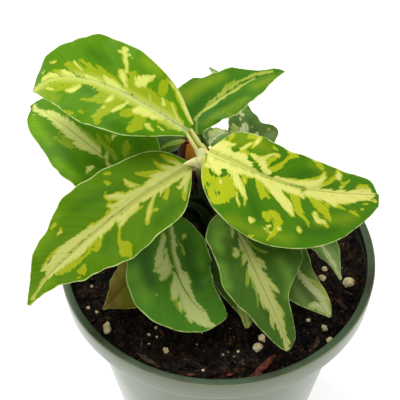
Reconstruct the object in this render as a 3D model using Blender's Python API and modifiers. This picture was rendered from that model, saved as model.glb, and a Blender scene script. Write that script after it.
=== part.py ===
"""Potted chinese evergreen: a small aglaonema in a 4 inch nursery pot.

The pot is a turned plastic shell, filled with one solid of potting soil whose
surface carries crumbs, perlite grains and strips of bark. Three short stems
stand in plain holes in the soil. Every leaf is one solid: a waved blade, its
midrib and its petiole, which runs down beside the stem that carries it.

Lengths are in millimetres and angles in degrees until an object is made,
which happens in metres. The origin is the centre of the pot's base, +Z is up,
and the plant is seen in the photograph from the -Y side.
"""

import math
import random
from collections import namedtuple

import bmesh
import bpy
from mathutils import Matrix, Vector, noise

MM = 0.001
CLEARANCE = 0.3

# The pot: rim, body, wall and the holes that drain it.
POT_HEIGHT = 92.0
RIM_RADIUS = 54.0
RIM_WALL = 2.0
LIP_HEIGHT = 8.0
BODY_TOP_RADIUS = 47.6
BASE_RADIUS = 36.0
BODY_WALL = 1.3
FLOOR = 2.0
POT_SIDES = 48
DRAIN_COUNT = 6
DRAIN_RADIUS = 4.0
DRAIN_RING = 25.0

# The soil: how far its surface lies below the rim, and how rough it is.
SOIL_DROP = 5.0
SOIL_RINGS = 9
CRUMB_RELIEF = 1.1
CRUMB_SIZE = 9.0
SOIL_SEED = 11
GRAIN_COUNT = 30
GRAIN_SINK = 0.3
BARK_EVERY = 4
STUDDED_RADIUS = 47.0

# Leaves: blade thickness and how finely a blade and a petiole are divided.
BLADE = 0.8
BLADE_ROWS = 18
BLADE_COLUMNS = 6
LEAST_HALF_WIDTH = 0.3
PETIOLE_STEPS = 9
PETIOLE_FOOT = 1.8
PETIOLE_HEAD = 1.4
PETIOLE_RISE = 0.45
PETIOLE_LEAD = 3.5
PETIOLE_SIDES = 8
RIB_STEPS = 7
RIB_REACH = 0.8
RIB_END = 0.45
RIB_DROP = 0.7

# Stems: how deep they stand in the soil and how far a ring stands out.
STEM_DEPTH = 22.0
STEM_SIDES = 10
NODE_INSET = 0.92

# The pale sheath of the next leaf: three guide points and its thickness.
SHEATH_GUIDE = ((-2.6, 2.4, 118), (-3.6, 1.0, 137), (-12, 0.4, 133.6))
SHEATH_RADIUS = 1.4
SHEATH_END = 0.25
SHEATH_STEPS = 6

Stem = namedtuple("Stem", "name foot top foot_radius top_radius rings cap end")
Leaf = namedtuple("Leaf", "name stem seat turn base bend tip left right lean fold wave waves")
Grain = namedtuple("Grain", "at size turn")

# A stem's cap and end are the height and the last radius of its top, in radii.
STEMS = (
    Stem("stem_main", (1.0, 6.5), (0.5, 7.3, 121.0), 4.2, 3.0, 6, 0.6, 0.45),
    Stem("stem_back", (-12.0, 25.0), (-11.0, 22.0, 114.0), 4.4, 3.2, 4, 2.4, 0.14),
    Stem("stem_side", (20.0, 8.0), (19.0, 7.0, 98.0), 2.8, 2.0, 2, 2.6, 0.16),
)

# The places along a blade, from its base to its tip, where half widths are given.
EDGE_PLACES = (0, .04, .1, .2, .3, .4, .5, .6, .7, .8, .9, .96, 1)

# Each leaf names its stem, the height and turn of its seat there, then the
# start, bend and tip of its midrib, the half widths of its left and right side
# at those places, its lean and fold, and the waves of its edge.
LEAVES = (
    Leaf("leaf_back_left", "stem_main", 123, None, (-11.5, 8, 141), (-48, 28, 158), (-62, 34.5, 134),
         (1.5, 3.3, 6.8, 12, 13.7, 14.2, 13.6, 11.8, 9.3, 7.2, 4, 1.8, 0.4),
         (1.5, 4.8, 8.8, 12.2, 14.2, 15.1, 14.8, 13.4, 11.5, 8.8, 4.6, 2, 0.5), -32, 6, 0.8, 3.5),
    Leaf("leaf_right", "stem_main", 117.5, 325, (-3, 1.3, 139), (14, -13, 136), (51, -3, 122),
         (3.5, 7.8, 9.7, 11, 11.4, 11, 10.3, 9.7, 8.8, 7.4, 6.3, 4.2, 0.4),
         (1.5, 6.6, 10.6, 14.8, 17.2, 19, 19.8, 19.4, 18, 15.4, 9.5, 5.2, 2.5), 43, 6, 0.8, 3.0),
    Leaf("leaf_front_left", "stem_main", 113, 190, (-9, 2.5, 131), (-53, -18, 117), (-58, -38, 112),
         (1, 7, 13.5, 15.8, 17.3, 16.8, 15, 12.6, 9.8, 6.3, 3, 1.6, 0.9),
         (2, 8.2, 12.6, 14, 15.2, 15.3, 12.6, 10, 7.6, 4.4, 1.8, 0.9, 0.4), -6, 6, 0.9, 4.0),
    Leaf("leaf_front", "stem_main", 104, 215, (-15, -2.5, 119), (-19.5, -28, 101), (2.5, -32.5, 99),
         (1, 1.6, 7, 11, 12.2, 12.4, 12, 10.8, 9.3, 7.6, 5.3, 3, 0.5),
         (1.1, 6.5, 10.5, 14.2, 15.5, 16.6, 17, 16.2, 13.4, 10.2, 6.6, 2.7, 0.4), -4, 6, 0.9, 3.0),
    Leaf("leaf_front_right", "stem_main", 98, 318, (3, -3.5, 117), (11.4, -28.8, 116.3), (21.5, -44, 97),
         (1.1, 6, 10.5, 13.9, 15.8, 16.9, 16, 11.4, 7.3, 5.4, 4.5, 3.3, 0.8),
         (1.1, 4.5, 8, 12, 12.2, 12.2, 12.7, 11.4, 9.3, 7, 4.4, 2.7, 1), -9, 6, 1.0, 2.5),
    Leaf("leaf_back_right", "stem_main", 110, 75, (-6, 14.5, 133.3), (-7, 27.5, 142), (23, 45, 134),
         (1, 7.5, 9.8, 11, 11.2, 10.3, 8.6, 7.2, 6, 3.6, 2.3, 1.8, 0.4),
         (1, 1.7, 4, 6.5, 9, 9.9, 9.9, 9.4, 8, 6, 3.3, 1.5, 0.4), 12, 12, 0.7, 3.0),
    Leaf("leaf_low_left", "stem_main", 94, 165, (-25, 10, 109), (-48, 23, 130), (-66.5, 46.5, 116.5),
         (1.1, 9, 13.5, 14.6, 14.6, 14.8, 13.6, 11.9, 10.5, 8.6, 5.2, 1.6, 0.4),
         (1.1, 10, 15, 18.4, 19, 18, 16.5, 14.5, 12, 9.5, 7, 5, 2.5), -16, 6, 0.8, 3.0),
    Leaf("leaf_inner_left", "stem_back", 104, 95, (-11, 29, 117), (-24, 34.5, 119), (-36, 37.5, 111),
         (1.1, 3, 5.5, 7.5, 8.5, 8.5, 8, 7, 5.6, 4, 2.2, 1.2, 0.4),
         (1.1, 2.4, 3.6, 4.6, 5, 5, 4.6, 4, 3.2, 2.4, 1.4, 0.8, 0.4), -30, 6, 0.5, 2.5),
    Leaf("leaf_low_back", "stem_back", 100, 40, (9, 24, 118), (14, 32, 121), (-2.5, 64, 120),
         (1, 2.5, 4.5, 6.4, 7, 6.4, 5.2, 4.4, 3.6, 2.8, 1.4, 0.8, 0.4),
         (1, 4, 7.6, 10, 10.7, 6.5, 4.6, 3.4, 3, 2.8, 2.6, 1.6, 0.4), 10, 6, 0.7, 3.0),
    Leaf("leaf_inner_back", "stem_back", 95, 90, (-7, 33, 104), (-1, 38, 112), (4, 45, 106),
         (1, 2, 3, 3.8, 4, 4, 4.2, 4, 3.8, 3.2, 1.4, 1.1, 0.8),
         (1, 2.6, 4.3, 6.1, 7.2, 7.8, 8, 7.8, 7.2, 6.1, 4.3, 2.6, 0.4), 8, 6, 0.5, 2.0),
    Leaf("leaf_low_front", "stem_main", 92, 262, (0, -2, 101), (6, -17, 100), (9, -33, 93),
         (1.1, 3.3, 5.4, 7.3, 8.2, 8.5, 8.2, 7.5, 6.3, 4.7, 2.6, 2, 0.6),
         (1.1, 2.8, 4.6, 6.4, 7.2, 7.5, 7.3, 6.6, 5.4, 3, 1.1, 0.9, 0.5), -5, 6, 0.5, 2.5),
    Leaf("leaf_small_front", "stem_side", 90, 250, (21, -3.5, 108), (20, -18.5, 109), (35.5, -31.5, 97),
         (1, 2.4, 4, 5.4, 6.1, 6.1, 5.3, 4.6, 4.5, 4.3, 3.4, 1.8, 0.4),
         (1.1, 4, 6.5, 8.9, 10.1, 10.5, 10, 9.2, 8, 5.7, 2.9, 1.3, 0.4), 7, 6, 0.5, 2.5),
    Leaf("leaf_small_right", "stem_side", 91, 0, (29, 0.5, 106), (33.5, -10.5, 108), (40, -18, 99),
         (1.1, 2.1, 3.4, 4.7, 5.3, 5.5, 5.3, 4.8, 4.1, 2.8, 1.4, 0.7, 0.4),
         (1.1, 1.5, 2.5, 3.4, 3.9, 4, 3.2, 2.4, 1.6, 0.9, 0.7, 0.6, 0.5), 6, 6, 0.4, 2.0),
    Leaf("leaf_old", "stem_main", 89, 210, (-22, -4, 102), (-27.5, -16, 96), (-38, -23, 89.5),
         (1.1, 4.4, 7.2, 9.8, 11.1, 11.5, 11.2, 10, 8.8, 5.4, 2, 0.8, 0.4),
         (1.1, 2.7, 4.4, 6, 6.8, 7, 5.8, 5.2, 4.5, 3, 1.5, 0.7, 0.4), -11, 8, 0.8, 3.0),
)


def smooth_curve(points, s):
    """The point at s, from 0 to 1, on the Bezier curve of these points."""
    points = [Vector(p) for p in points]
    while len(points) > 1:
        points = [a.lerp(b, s) for a, b in zip(points, points[1:])]
    return points[0]


def stem_axis(stem, z):
    """The centre of a stem at a height, and its radius there."""
    share = (z - soil_level()) / (stem.top[2] - soil_level())
    foot = Vector((*stem.foot, soil_level()))
    radius = stem.foot_radius + (stem.top_radius - stem.foot_radius) * share
    return foot.lerp(Vector(stem.top), share), radius


def soil_level():
    return POT_HEIGHT - SOIL_DROP


def blade_frame(leaf, s):
    """Midrib point, forward, left and upper-face directions at s."""
    start, bend, tip = Vector(leaf.base), Vector(leaf.bend), Vector(leaf.tip)
    chord = (tip - start).normalized()
    level_left = Vector((0, 0, 1)).cross(chord).normalized()
    level_up = chord.cross(level_left)
    lean = math.radians(leaf.lean)
    up = level_up * math.cos(lean) - level_left * math.sin(lean)
    forward = ((bend - start) * (1 - s) + (tip - bend) * s).normalized()
    up = (up - forward * up.dot(forward)).normalized()
    return smooth_curve((start, bend, tip), s), forward, up.cross(forward), up


def half_width(leaf, s, side):
    """Distance from midrib to edge, a smooth curve through the given ones."""
    widths = leaf.left if side > 0 else leaf.right
    last = len(EDGE_PLACES) - 2
    i = min(last, max(0, sum(place <= s for place in EDGE_PLACES) - 1))
    slopes = []
    for knot in (i, i + 1):
        before, after = max(0, knot - 1), min(last + 1, knot + 1)
        slopes.append((widths[after] - widths[before]) / (EDGE_PLACES[after] - EDGE_PLACES[before]))
    span = EDGE_PLACES[i + 1] - EDGE_PLACES[i]
    t = (s - EDGE_PLACES[i]) / span
    line = widths[i] * (1 - t) + widths[i + 1] * t
    rise = (widths[i + 1] - widths[i]) / span
    curve = (slopes[0] - rise) * (1 - t) - (slopes[1] - rise) * t
    return max(LEAST_HALF_WIDTH, line + t * (1 - t) * span * curve)


def blade_point(leaf, s, v):
    """A point of the blade: s runs from base to tip, v from -1 to 1 across."""
    centre, _, left, up = blade_frame(leaf, s)
    out = abs(v) * half_width(leaf, s, v)
    fold = math.radians(leaf.fold)
    phase = math.tau * leaf.waves * s + (1.0 if v > 0 else 2.6)
    ripple = leaf.wave * math.sin(phase) * v * v * math.sin(math.pi * s)
    across = math.copysign(out * math.cos(fold), v)
    return centre + left * across + up * (out * math.sin(fold) + ripple)


def petiole_seat(leaf, radius=PETIOLE_FOOT):
    """Where a petiole stands beside its stem, or on top of it, and the way up."""
    stem = next(s for s in STEMS if s.name == leaf.stem)
    if leaf.turn is None:
        top = Vector(stem.top)
        axis = (top - stem_axis(stem, soil_level())[0]).normalized()
        return top + Vector((0, 0, stem.top_radius * stem.cap + CLEARANCE)), axis
    centre, stem_radius = stem_axis(stem, leaf.seat)
    turn = math.radians(leaf.turn)
    outward = Vector((math.cos(turn), math.sin(turn), 0))
    axis = (Vector(stem.top) - centre).normalized()
    return centre + outward * (stem_radius + CLEARANCE + radius), axis


def petiole_path(leaf):
    """Points and radii from the seat on the stem to the blade and along it."""
    seat, axis = petiole_seat(leaf)
    start, forward, _, _ = blade_frame(leaf, 0)
    reach = (start - seat).length
    guide = (seat, seat + axis * reach * PETIOLE_RISE, start - forward * PETIOLE_LEAD, start)
    path = []
    for i in range(PETIOLE_STEPS):
        s = i / PETIOLE_STEPS
        path.append((smooth_curve(guide, s), PETIOLE_FOOT + (PETIOLE_HEAD - PETIOLE_FOOT) * s))
    for i in range(RIB_STEPS + 1):
        s = RIB_REACH * i / RIB_STEPS
        point, _, _, up = blade_frame(leaf, s)
        radius = PETIOLE_HEAD + (RIB_END - PETIOLE_HEAD) * s / RIB_REACH
        path.append((point - up * radius * RIB_DROP * min(1, 6 * s), radius))
    return path


def clear_scene():
    for obj in list(bpy.data.objects):
        bpy.data.objects.remove(obj)


def collection(name):
    group = bpy.data.collections.new(name)
    bpy.context.scene.collection.children.link(group)
    return group


def material(name, colour, roughness, metallic=0.0):
    made = bpy.data.materials.new(name)
    made.use_nodes = True
    shader = made.node_tree.nodes["Principled BSDF"]
    shader.inputs["Base Color"].default_value = (*colour, 1.0)
    shader.inputs["Roughness"].default_value = roughness
    shader.inputs["Metallic"].default_value = metallic
    return made


def add_object(name, mesh, group, finish=None):
    obj = bpy.data.objects.new(name, mesh)
    group.objects.link(obj)
    if finish:
        mesh.materials.append(finish)
    return obj


def mesh_from_bmesh(name, bm):
    mesh = bpy.data.meshes.new(name)
    bm.to_mesh(mesh)
    bm.free()
    return mesh


def baked(obj):
    """Replace an object's mesh by what its modifiers make, welded."""
    graph = bpy.context.evaluated_depsgraph_get()
    mesh = bpy.data.meshes.new_from_object(obj.evaluated_get(graph))
    obj.modifiers.clear()
    bm = bmesh.new()
    bm.from_mesh(mesh)
    bmesh.ops.remove_doubles(bm, verts=bm.verts, dist=0.00001)
    bm.to_mesh(mesh)
    bm.free()
    obj.data = mesh
    return obj


def boolean(target, tool, operation, group):
    """Join to, or cut from, a target one object or a whole collection."""
    step = target.modifiers.new(operation.lower(), "BOOLEAN")
    step.operation = operation
    step.solver = "EXACT"
    if isinstance(tool, bpy.types.Collection):
        step.operand_type = "COLLECTION"
        step.collection = tool
        used = list(tool.objects)
    else:
        step.object = tool
        used = [tool]
    baked(target)
    for obj in used:
        bpy.data.objects.remove(obj)


def smooth(obj, angle=40):
    obj.data.shade_smooth()
    obj.data.set_sharp_from_angle(angle=math.radians(angle))


def turned(name, profile, group, finish, sides=POT_SIDES):
    """Spin a profile of (radius, height) points, from top to bottom."""
    mesh = bpy.data.meshes.new(name)
    points = [(r * MM, 0, z * MM) for r, z in profile]
    edges = [(i, i + 1) for i in range(len(points) - 1)]
    mesh.from_pydata(points, edges, [])
    obj = add_object(name, mesh, group, finish)
    spin = obj.modifiers.new("spin", "SCREW")
    spin.axis = "Z"
    spin.steps = sides
    spin.render_steps = sides
    spin.use_merge_vertices = True
    spin.merge_threshold = 0.00001
    spin.use_normal_calculate = True
    return baked(obj)


def tube(name, path, group, finish, sides=PETIOLE_SIDES):
    """A closed tube along points with their own radii, as a welded mesh."""
    curve = bpy.data.curves.new(name, "CURVE")
    curve.dimensions = "3D"
    curve.bevel_depth = MM
    curve.bevel_resolution = sides // 2 - 2
    curve.use_fill_caps = True
    line = curve.splines.new("POLY")
    line.points.add(len(path) - 1)
    for knot, (point, radius) in zip(line.points, path):
        knot.co = (*(point * MM), 1)
        knot.radius = radius
    obj = bpy.data.objects.new(name, curve)
    group.objects.link(obj)
    graph = bpy.context.evaluated_depsgraph_get()
    mesh = bpy.data.meshes.new_from_object(obj.evaluated_get(graph))
    bpy.data.objects.remove(obj)
    bm = bmesh.new()
    bm.from_mesh(mesh)
    bmesh.ops.remove_doubles(bm, verts=bm.verts, dist=0.00001)
    bmesh.ops.recalc_face_normals(bm, faces=bm.faces)
    bm.to_mesh(mesh)
    bm.free()
    return add_object(name, mesh, group, finish)


def make_pot(group, cutters, finish):
    """The turned shell: floor, tapered body, shoulder and upright lip."""
    shoulder = POT_HEIGHT - LIP_HEIGHT
    edge = 0.6
    outer = [
        (RIM_RADIUS - edge, POT_HEIGHT),
        (RIM_RADIUS, POT_HEIGHT - edge),
        (RIM_RADIUS - 0.3, shoulder + 0.8),
        (RIM_RADIUS - 1.0, shoulder),
        (BODY_TOP_RADIUS + 0.8, shoulder - 0.3),
        (BODY_TOP_RADIUS, shoulder - 1.1),
        (BASE_RADIUS + 0.2, 1.5),
        (BASE_RADIUS - 1.5, 0),
        (0, 0),
    ]
    inner = [
        (0, FLOOR),
        (BASE_RADIUS - BODY_WALL - 1.0, FLOOR),
        (BASE_RADIUS - BODY_WALL + 0.2, FLOOR + 1.2),
        (BODY_TOP_RADIUS - BODY_WALL, shoulder + 0.2),
        (BODY_TOP_RADIUS - BODY_WALL + 0.8, shoulder + 1.0),
        (RIM_RADIUS - RIM_WALL - 1.0, shoulder + 1.3),
        (RIM_RADIUS - RIM_WALL - 0.2, shoulder + 1.9),
        (RIM_RADIUS - RIM_WALL, POT_HEIGHT - edge),
        (RIM_RADIUS - RIM_WALL + edge, POT_HEIGHT),
        (RIM_RADIUS - edge, POT_HEIGHT),
    ]
    pot = turned("pot", outer + inner, group, finish)
    for i in range(DRAIN_COUNT):
        angle = math.tau * (i + 0.5) / DRAIN_COUNT
        bm = bmesh.new()
        place = Matrix.Translation(Vector((math.cos(angle), math.sin(angle), 0)) * DRAIN_RING * MM)
        bmesh.ops.create_cone(bm, cap_ends=True, segments=16, radius1=DRAIN_RADIUS * MM,
                              radius2=DRAIN_RADIUS * MM, depth=4 * FLOOR * MM, matrix=place)
        add_object(f"drain_{i}", mesh_from_bmesh(f"drain_{i}", bm), cutters)
    boolean(pot, cutters, "DIFFERENCE", group)
    smooth(pot)
    return pot


def soil_height(x, y):
    """Height of the soil's surface in millimetres, level beside the wall."""
    wall = RIM_RADIUS - RIM_WALL
    inside = max(0.0, min(1.0, (wall - math.hypot(x, y)) / 6))
    coarse = noise.noise(Vector((x, y, 0)) / CRUMB_SIZE)
    fine = noise.noise(Vector((x, y, 40)) / (CRUMB_SIZE * 0.45))
    mound = 1.2 * math.exp(-((x + 2) ** 2 + (y - 6) ** 2) / 500)
    return soil_level() + mound + inside * CRUMB_RELIEF * (coarse * 1.6 + fine * 0.9)


def scattered_grains():
    """Perlite grains and bark strips on the soil, drawn with one seed."""
    draw = random.Random(SOIL_SEED)
    grains = []
    tries = 0
    while len(grains) < GRAIN_COUNT and tries < 4000:
        tries += 1
        radius = STUDDED_RADIUS * math.sqrt(draw.random())
        angle = draw.uniform(0, math.tau)
        at = Vector((radius * math.cos(angle), radius * math.sin(angle)))
        long = len(grains) % BARK_EVERY == BARK_EVERY - 1
        size = (draw.uniform(4, 6), 0.9, 0.9) if long else (draw.uniform(1.2, 2.4),) * 3
        reach = max(size) + 1.2
        near_stem = any((at - Vector(s.foot)).length < reach + s.foot_radius + 1.5 for s in STEMS)
        near_grain = any((at - g.at).length < reach + max(g.size) for g in grains)
        if near_stem or near_grain or at.length + reach > RIM_RADIUS - RIM_WALL - 1:
            continue
        grains.append(Grain(at, size, draw.uniform(0, math.tau)))
    return grains


def make_soil(group, cutters, finish):
    """One solid of soil: turned, roughened on top, studded and drilled."""
    shoulder = POT_HEIGHT - LIP_HEIGHT
    wall = RIM_RADIUS - RIM_WALL - CLEARANCE
    body = BODY_TOP_RADIUS - BODY_WALL - CLEARANCE
    top = [(wall * i / SOIL_RINGS, soil_level()) for i in range(SOIL_RINGS)]
    side = [
        (wall - 0.2, soil_level()),
        (wall - 0.4, shoulder + 1.9 + CLEARANCE),
        (wall - 1.3, shoulder + 1.3 + CLEARANCE),
        (body + 0.7, shoulder + 1.0 + CLEARANCE),
        (body - 0.1, shoulder),
        (BASE_RADIUS - BODY_WALL - CLEARANCE, FLOOR + 1.8),
        (BASE_RADIUS - BODY_WALL - CLEARANCE - 1.5, FLOOR + CLEARANCE),
        (0, FLOOR + CLEARANCE),
    ]
    soil = turned("soil", top + side, group, finish)
    for vertex in soil.data.vertices:
        if vertex.co.z > (soil_level() - 0.1) * MM:
            vertex.co.z = soil_height(vertex.co.x / MM, vertex.co.y / MM) * MM
    for i, grain in enumerate(scattered_grains()):
        bm = bmesh.new()
        bmesh.ops.create_icosphere(bm, subdivisions=1, radius=1.0)
        size = Matrix.Diagonal(Vector((*grain.size, 1))) * MM
        spin = Matrix.Rotation(grain.turn, 4, "Z") @ Matrix.Rotation(grain.turn * 2, 4, "X")
        if grain.size[0] > 2 * grain.size[1]:
            spin = Matrix.Rotation(grain.turn, 4, "Z")
        height = soil_height(*grain.at) + grain.size[2] * GRAIN_SINK
        place = Matrix.Translation(Vector((*grain.at, height)) * MM)
        size[3][3] = 1
        bm.transform(place @ spin @ size)
        add_object(f"grain_{i}", mesh_from_bmesh(f"grain_{i}", bm), cutters)
    boolean(soil, cutters, "UNION", group)
    for stem in STEMS:
        radius = (stem.foot_radius + CLEARANCE) * MM
        bottom = Vector((*stem.foot, soil_level() - STEM_DEPTH - CLEARANCE))
        middle = (bottom + Vector((0, 0, STEM_DEPTH))) * MM
        bm = bmesh.new()
        bmesh.ops.create_cone(bm, cap_ends=True, segments=16, radius1=radius, radius2=radius,
                              depth=2 * STEM_DEPTH * MM, matrix=Matrix.Translation(middle))
        add_object(stem.name + "_hole", mesh_from_bmesh("hole", bm), cutters)
    boolean(soil, cutters, "DIFFERENCE", group)
    smooth(soil)
    return soil


def make_stem(stem, group, finish):
    """A stem: upright in its hole, then leaning, with a ring at each node."""
    foot = Vector((*stem.foot, soil_level()))
    path = [
        (foot - Vector((0, 0, STEM_DEPTH)), stem.foot_radius * NODE_INSET),
        (foot + Vector((0, 0, 1)), stem.foot_radius * NODE_INSET),
    ]
    steps = stem.rings * 2
    for i in range(1, steps + 1):
        share = i / steps
        centre, radius = stem_axis(stem, foot.z + 1 + (stem.top[2] - foot.z - 1) * share)
        ring = 1.0 if i % 2 else NODE_INSET
        path.append((centre, radius * ring))
    tip, radius = path[-1]
    path.append((tip + Vector((0, 0, radius * stem.cap)), radius * stem.end))
    return tube(stem.name, path, group, finish, STEM_SIDES)


def make_leaf(leaf, group, finish):
    """Blade, midrib and petiole as one solid."""
    bm = bmesh.new()
    bmesh.ops.create_grid(bm, x_segments=BLADE_ROWS, y_segments=BLADE_COLUMNS, size=1)
    for vertex in bm.verts:
        s = (vertex.co.x + 1) / 2
        vertex.co = blade_point(leaf, s, vertex.co.y) * MM
    bmesh.ops.triangulate(bm, faces=bm.faces)
    blade = add_object(leaf.name, mesh_from_bmesh(leaf.name, bm), group, finish)
    wall = blade.modifiers.new("wall", "SOLIDIFY")
    wall.thickness = BLADE * MM
    wall.offset = 0
    baked(blade)
    petiole = tube(leaf.name + "_petiole", petiole_path(leaf), group, finish)
    boolean(blade, petiole, "UNION", group)
    smooth(blade, 60)
    return blade


def make_growing_tip(group, finish):
    """The pale pointed sheath of the next leaf, above the main stem."""
    path = []
    for i in range(SHEATH_STEPS + 1):
        s = i / SHEATH_STEPS
        path.append((smooth_curve(SHEATH_GUIDE, s), SHEATH_RADIUS * (1 - s) ** 0.6 + SHEATH_END))
    return tube("growing_tip", path, group, finish)


def main():
    clear_scene()
    group = collection("potted_chinese_evergreen")
    cutters = collection("cutters")
    plastic = material("green pot plastic", (0.16, 0.20, 0.13), 0.45)
    earth = material("dark potting soil", (0.02, 0.014, 0.011), 0.95)
    bark = material("green brown stem", (0.16, 0.13, 0.06), 0.6)
    pale = material("pale sheath", (0.62, 0.66, 0.38), 0.5)
    green = material("variegated leaf", (0.12, 0.30, 0.04), 0.38)
    ageing = material("ageing leaf", (0.35, 0.24, 0.04), 0.55)
    make_pot(group, cutters, plastic)
    make_soil(group, cutters, earth)
    for stem in STEMS:
        make_stem(stem, group, bark)
    make_growing_tip(group, pale)
    for leaf in LEAVES:
        make_leaf(leaf, group, ageing if leaf.name == "leaf_old" else green)


main()
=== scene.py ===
# %% [markdown]
# Potted chinese evergreen: the looks.
#
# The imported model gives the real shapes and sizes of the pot, the soil, the stems and the leaves.
# This notebook dresses it. Each leaf gets a finer blade with veins, a channelled stalk and its own
# cream and lime markings, the soil gets crumbs, perlite and bark, and the pot gets its moulded
# plastic. Lengths are in millimetres until a mesh is written, which happens in metres.

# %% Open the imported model
import math
import random
from collections import namedtuple
from functools import partial

import bpy
import numpy as np
from mathutils import Matrix, Vector, noise


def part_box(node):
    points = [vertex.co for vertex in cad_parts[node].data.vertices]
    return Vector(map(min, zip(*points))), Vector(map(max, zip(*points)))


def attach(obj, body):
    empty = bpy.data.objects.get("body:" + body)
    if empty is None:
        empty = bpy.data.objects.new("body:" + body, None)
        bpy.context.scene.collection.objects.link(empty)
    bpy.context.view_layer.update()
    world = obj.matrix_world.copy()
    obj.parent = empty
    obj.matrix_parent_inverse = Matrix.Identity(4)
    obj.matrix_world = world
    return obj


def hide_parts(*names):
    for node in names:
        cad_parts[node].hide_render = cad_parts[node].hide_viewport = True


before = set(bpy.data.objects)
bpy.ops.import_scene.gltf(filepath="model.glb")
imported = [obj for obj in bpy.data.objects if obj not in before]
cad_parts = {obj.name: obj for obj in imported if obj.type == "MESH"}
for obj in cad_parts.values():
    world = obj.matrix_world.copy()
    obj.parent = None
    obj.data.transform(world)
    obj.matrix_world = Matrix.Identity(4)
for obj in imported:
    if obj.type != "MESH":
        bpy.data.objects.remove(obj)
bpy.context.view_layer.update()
MM = 0.001
RIM_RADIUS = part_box("pot")[1].x / MM
POT_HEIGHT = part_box("pot")[1].z / MM
SOIL_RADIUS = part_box("soil")[1].x / MM
print("nodes:", len(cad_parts), "pot radius and height:", round(RIM_RADIUS, 1), round(POT_HEIGHT, 1))

# %% [markdown]
# The camera comes first, because every later choice is judged through it. The photograph looks
# down at the leaves at about 47 degrees from some 33 cm away, with a long lens. The rim's ellipse
# gives the angle, and the rim's width in the frame gives the lens.

# %% Camera
CAMERA_PLACE = (-6.0, -217.7, 353.7)
CAMERA_DOWN = 47.3
CAMERA_LENS = 89.0
CAMERA_SENSOR = 36.0
CAMERA_NEAR = 0.01

bpy.ops.object.camera_add(
    location=Vector(CAMERA_PLACE) * MM, rotation=(math.radians(90 - CAMERA_DOWN), 0, 0)
)
camera = bpy.context.object
camera.data.lens = CAMERA_LENS
camera.data.sensor_width = CAMERA_SENSOR
camera.data.clip_start = CAMERA_NEAR
bpy.context.scene.camera = camera
bpy.context.scene.view_settings.view_transform = "Standard"
print("camera at", CAMERA_PLACE, "lens", CAMERA_LENS)

# %% [markdown]
# A few small helpers serve all the finishes. One turns a colour as it is seen on screen into the
# linear values that a shader works in, one fills a node's sockets, one adds a node with its settings
# and its links, and one starts a material.

# %% Colour and node helpers
SMOOTH = {"interpolation_type": "SMOOTHSTEP"}
COLOURS = {"data_type": "RGBA"}


def linear(hex_colour):
    """A linear RGBA colour from an sRGB hex value."""
    parts = [int(hex_colour[i:i + 2], 16) / 255 for i in (1, 3, 5)]
    return (*((p / 12.92) if p <= 0.04045 else ((p + 0.055) / 1.055) ** 2.4 for p in parts), 1.0)


def fill(made, node, inputs):
    """Give a node's sockets their values, or links from the outputs of other nodes."""
    for key, value in inputs.items():
        if isinstance(value, bpy.types.NodeSocket):
            made.node_tree.links.new(value, node.inputs[key])
        else:
            node.inputs[key].default_value = value


def add_node(made, kind, inputs=(), output=None, **settings):
    """Add a node with its settings, fill its sockets in order or by name, and give its output."""
    new = made.node_tree.nodes.new("ShaderNode" + kind)
    for key, value in settings.items():
        setattr(new, key, value)
    if not isinstance(inputs, dict):
        inputs = dict(zip([i for i, socket in enumerate(new.inputs) if socket.enabled], inputs))
    fill(made, new, inputs)
    return new.outputs[output] if output else next(socket for socket in new.outputs if socket.enabled)


def start_material(name, roughness, **shader_values):
    """A new material, its shader with plain values, and the function that adds nodes to it."""
    made = bpy.data.materials.new(name)
    made.use_nodes = True
    shader = made.node_tree.nodes["Principled BSDF"]
    values = {socket.replace("_", " "): value for socket, value in shader_values.items()}
    fill(made, shader, {"Roughness": roughness, **values})
    return made, shader, partial(add_node, made)


# %% [markdown]
# Every new piece ends the same way: its transforms are applied so that its place is in its mesh,
# it is shaded smooth, it rides on the plant's one body and it names the finish that it has. Most
# pieces start as a flat grid that is bent into shape and then welded shut.

# %% Piece helpers
def deselect():
    for obj in bpy.context.selected_objects:
        obj.select_set(False)


def make_active(obj):
    deselect()
    obj.select_set(True)
    bpy.context.view_layer.objects.active = obj


def finish_piece(obj, name, finish, nodes=(), angle=45):
    """Name a piece, give it its finish and let it ride in place of its CAD nodes."""
    make_active(obj)
    bpy.ops.object.transform_apply(location=True, rotation=True, scale=True)
    bpy.ops.object.shade_smooth_by_angle(angle=math.radians(angle))
    obj.name = name
    obj.data.name = name
    obj.data.materials.clear()
    obj.data.materials.append(finish)
    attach(obj, "root")
    if nodes:
        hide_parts(*nodes)
    return obj


def apply_modifier(obj, kind, **settings):
    """Add a modifier and apply it at once."""
    make_active(obj)
    step = obj.modifiers.new(kind.lower(), kind)
    for key, value in settings.items():
        setattr(step, key, value)
    bpy.ops.object.modifier_apply(modifier=step.name)


def start_grid(columns, rows):
    """A flat grid from -1 to 1, to be bent into a piece."""
    deselect()
    bpy.ops.mesh.primitive_grid_add(x_subdivisions=columns, y_subdivisions=rows, size=2)
    return bpy.context.object


def set_points(mesh, points):
    """Write points in millimetres to a mesh in metres."""
    flat = (np.asarray(points, np.float64) * MM).astype(np.float32)
    mesh.vertices.foreach_set("co", flat.ravel())
    mesh.update()


def write_attribute(mesh, name, values):
    """Keep a vector for each point of a mesh, which its material can read."""
    layer = mesh.attributes.new(name, "FLOAT_VECTOR", "POINT")
    layer.data.foreach_set("vector", np.asarray(values, np.float32).ravel())


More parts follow.
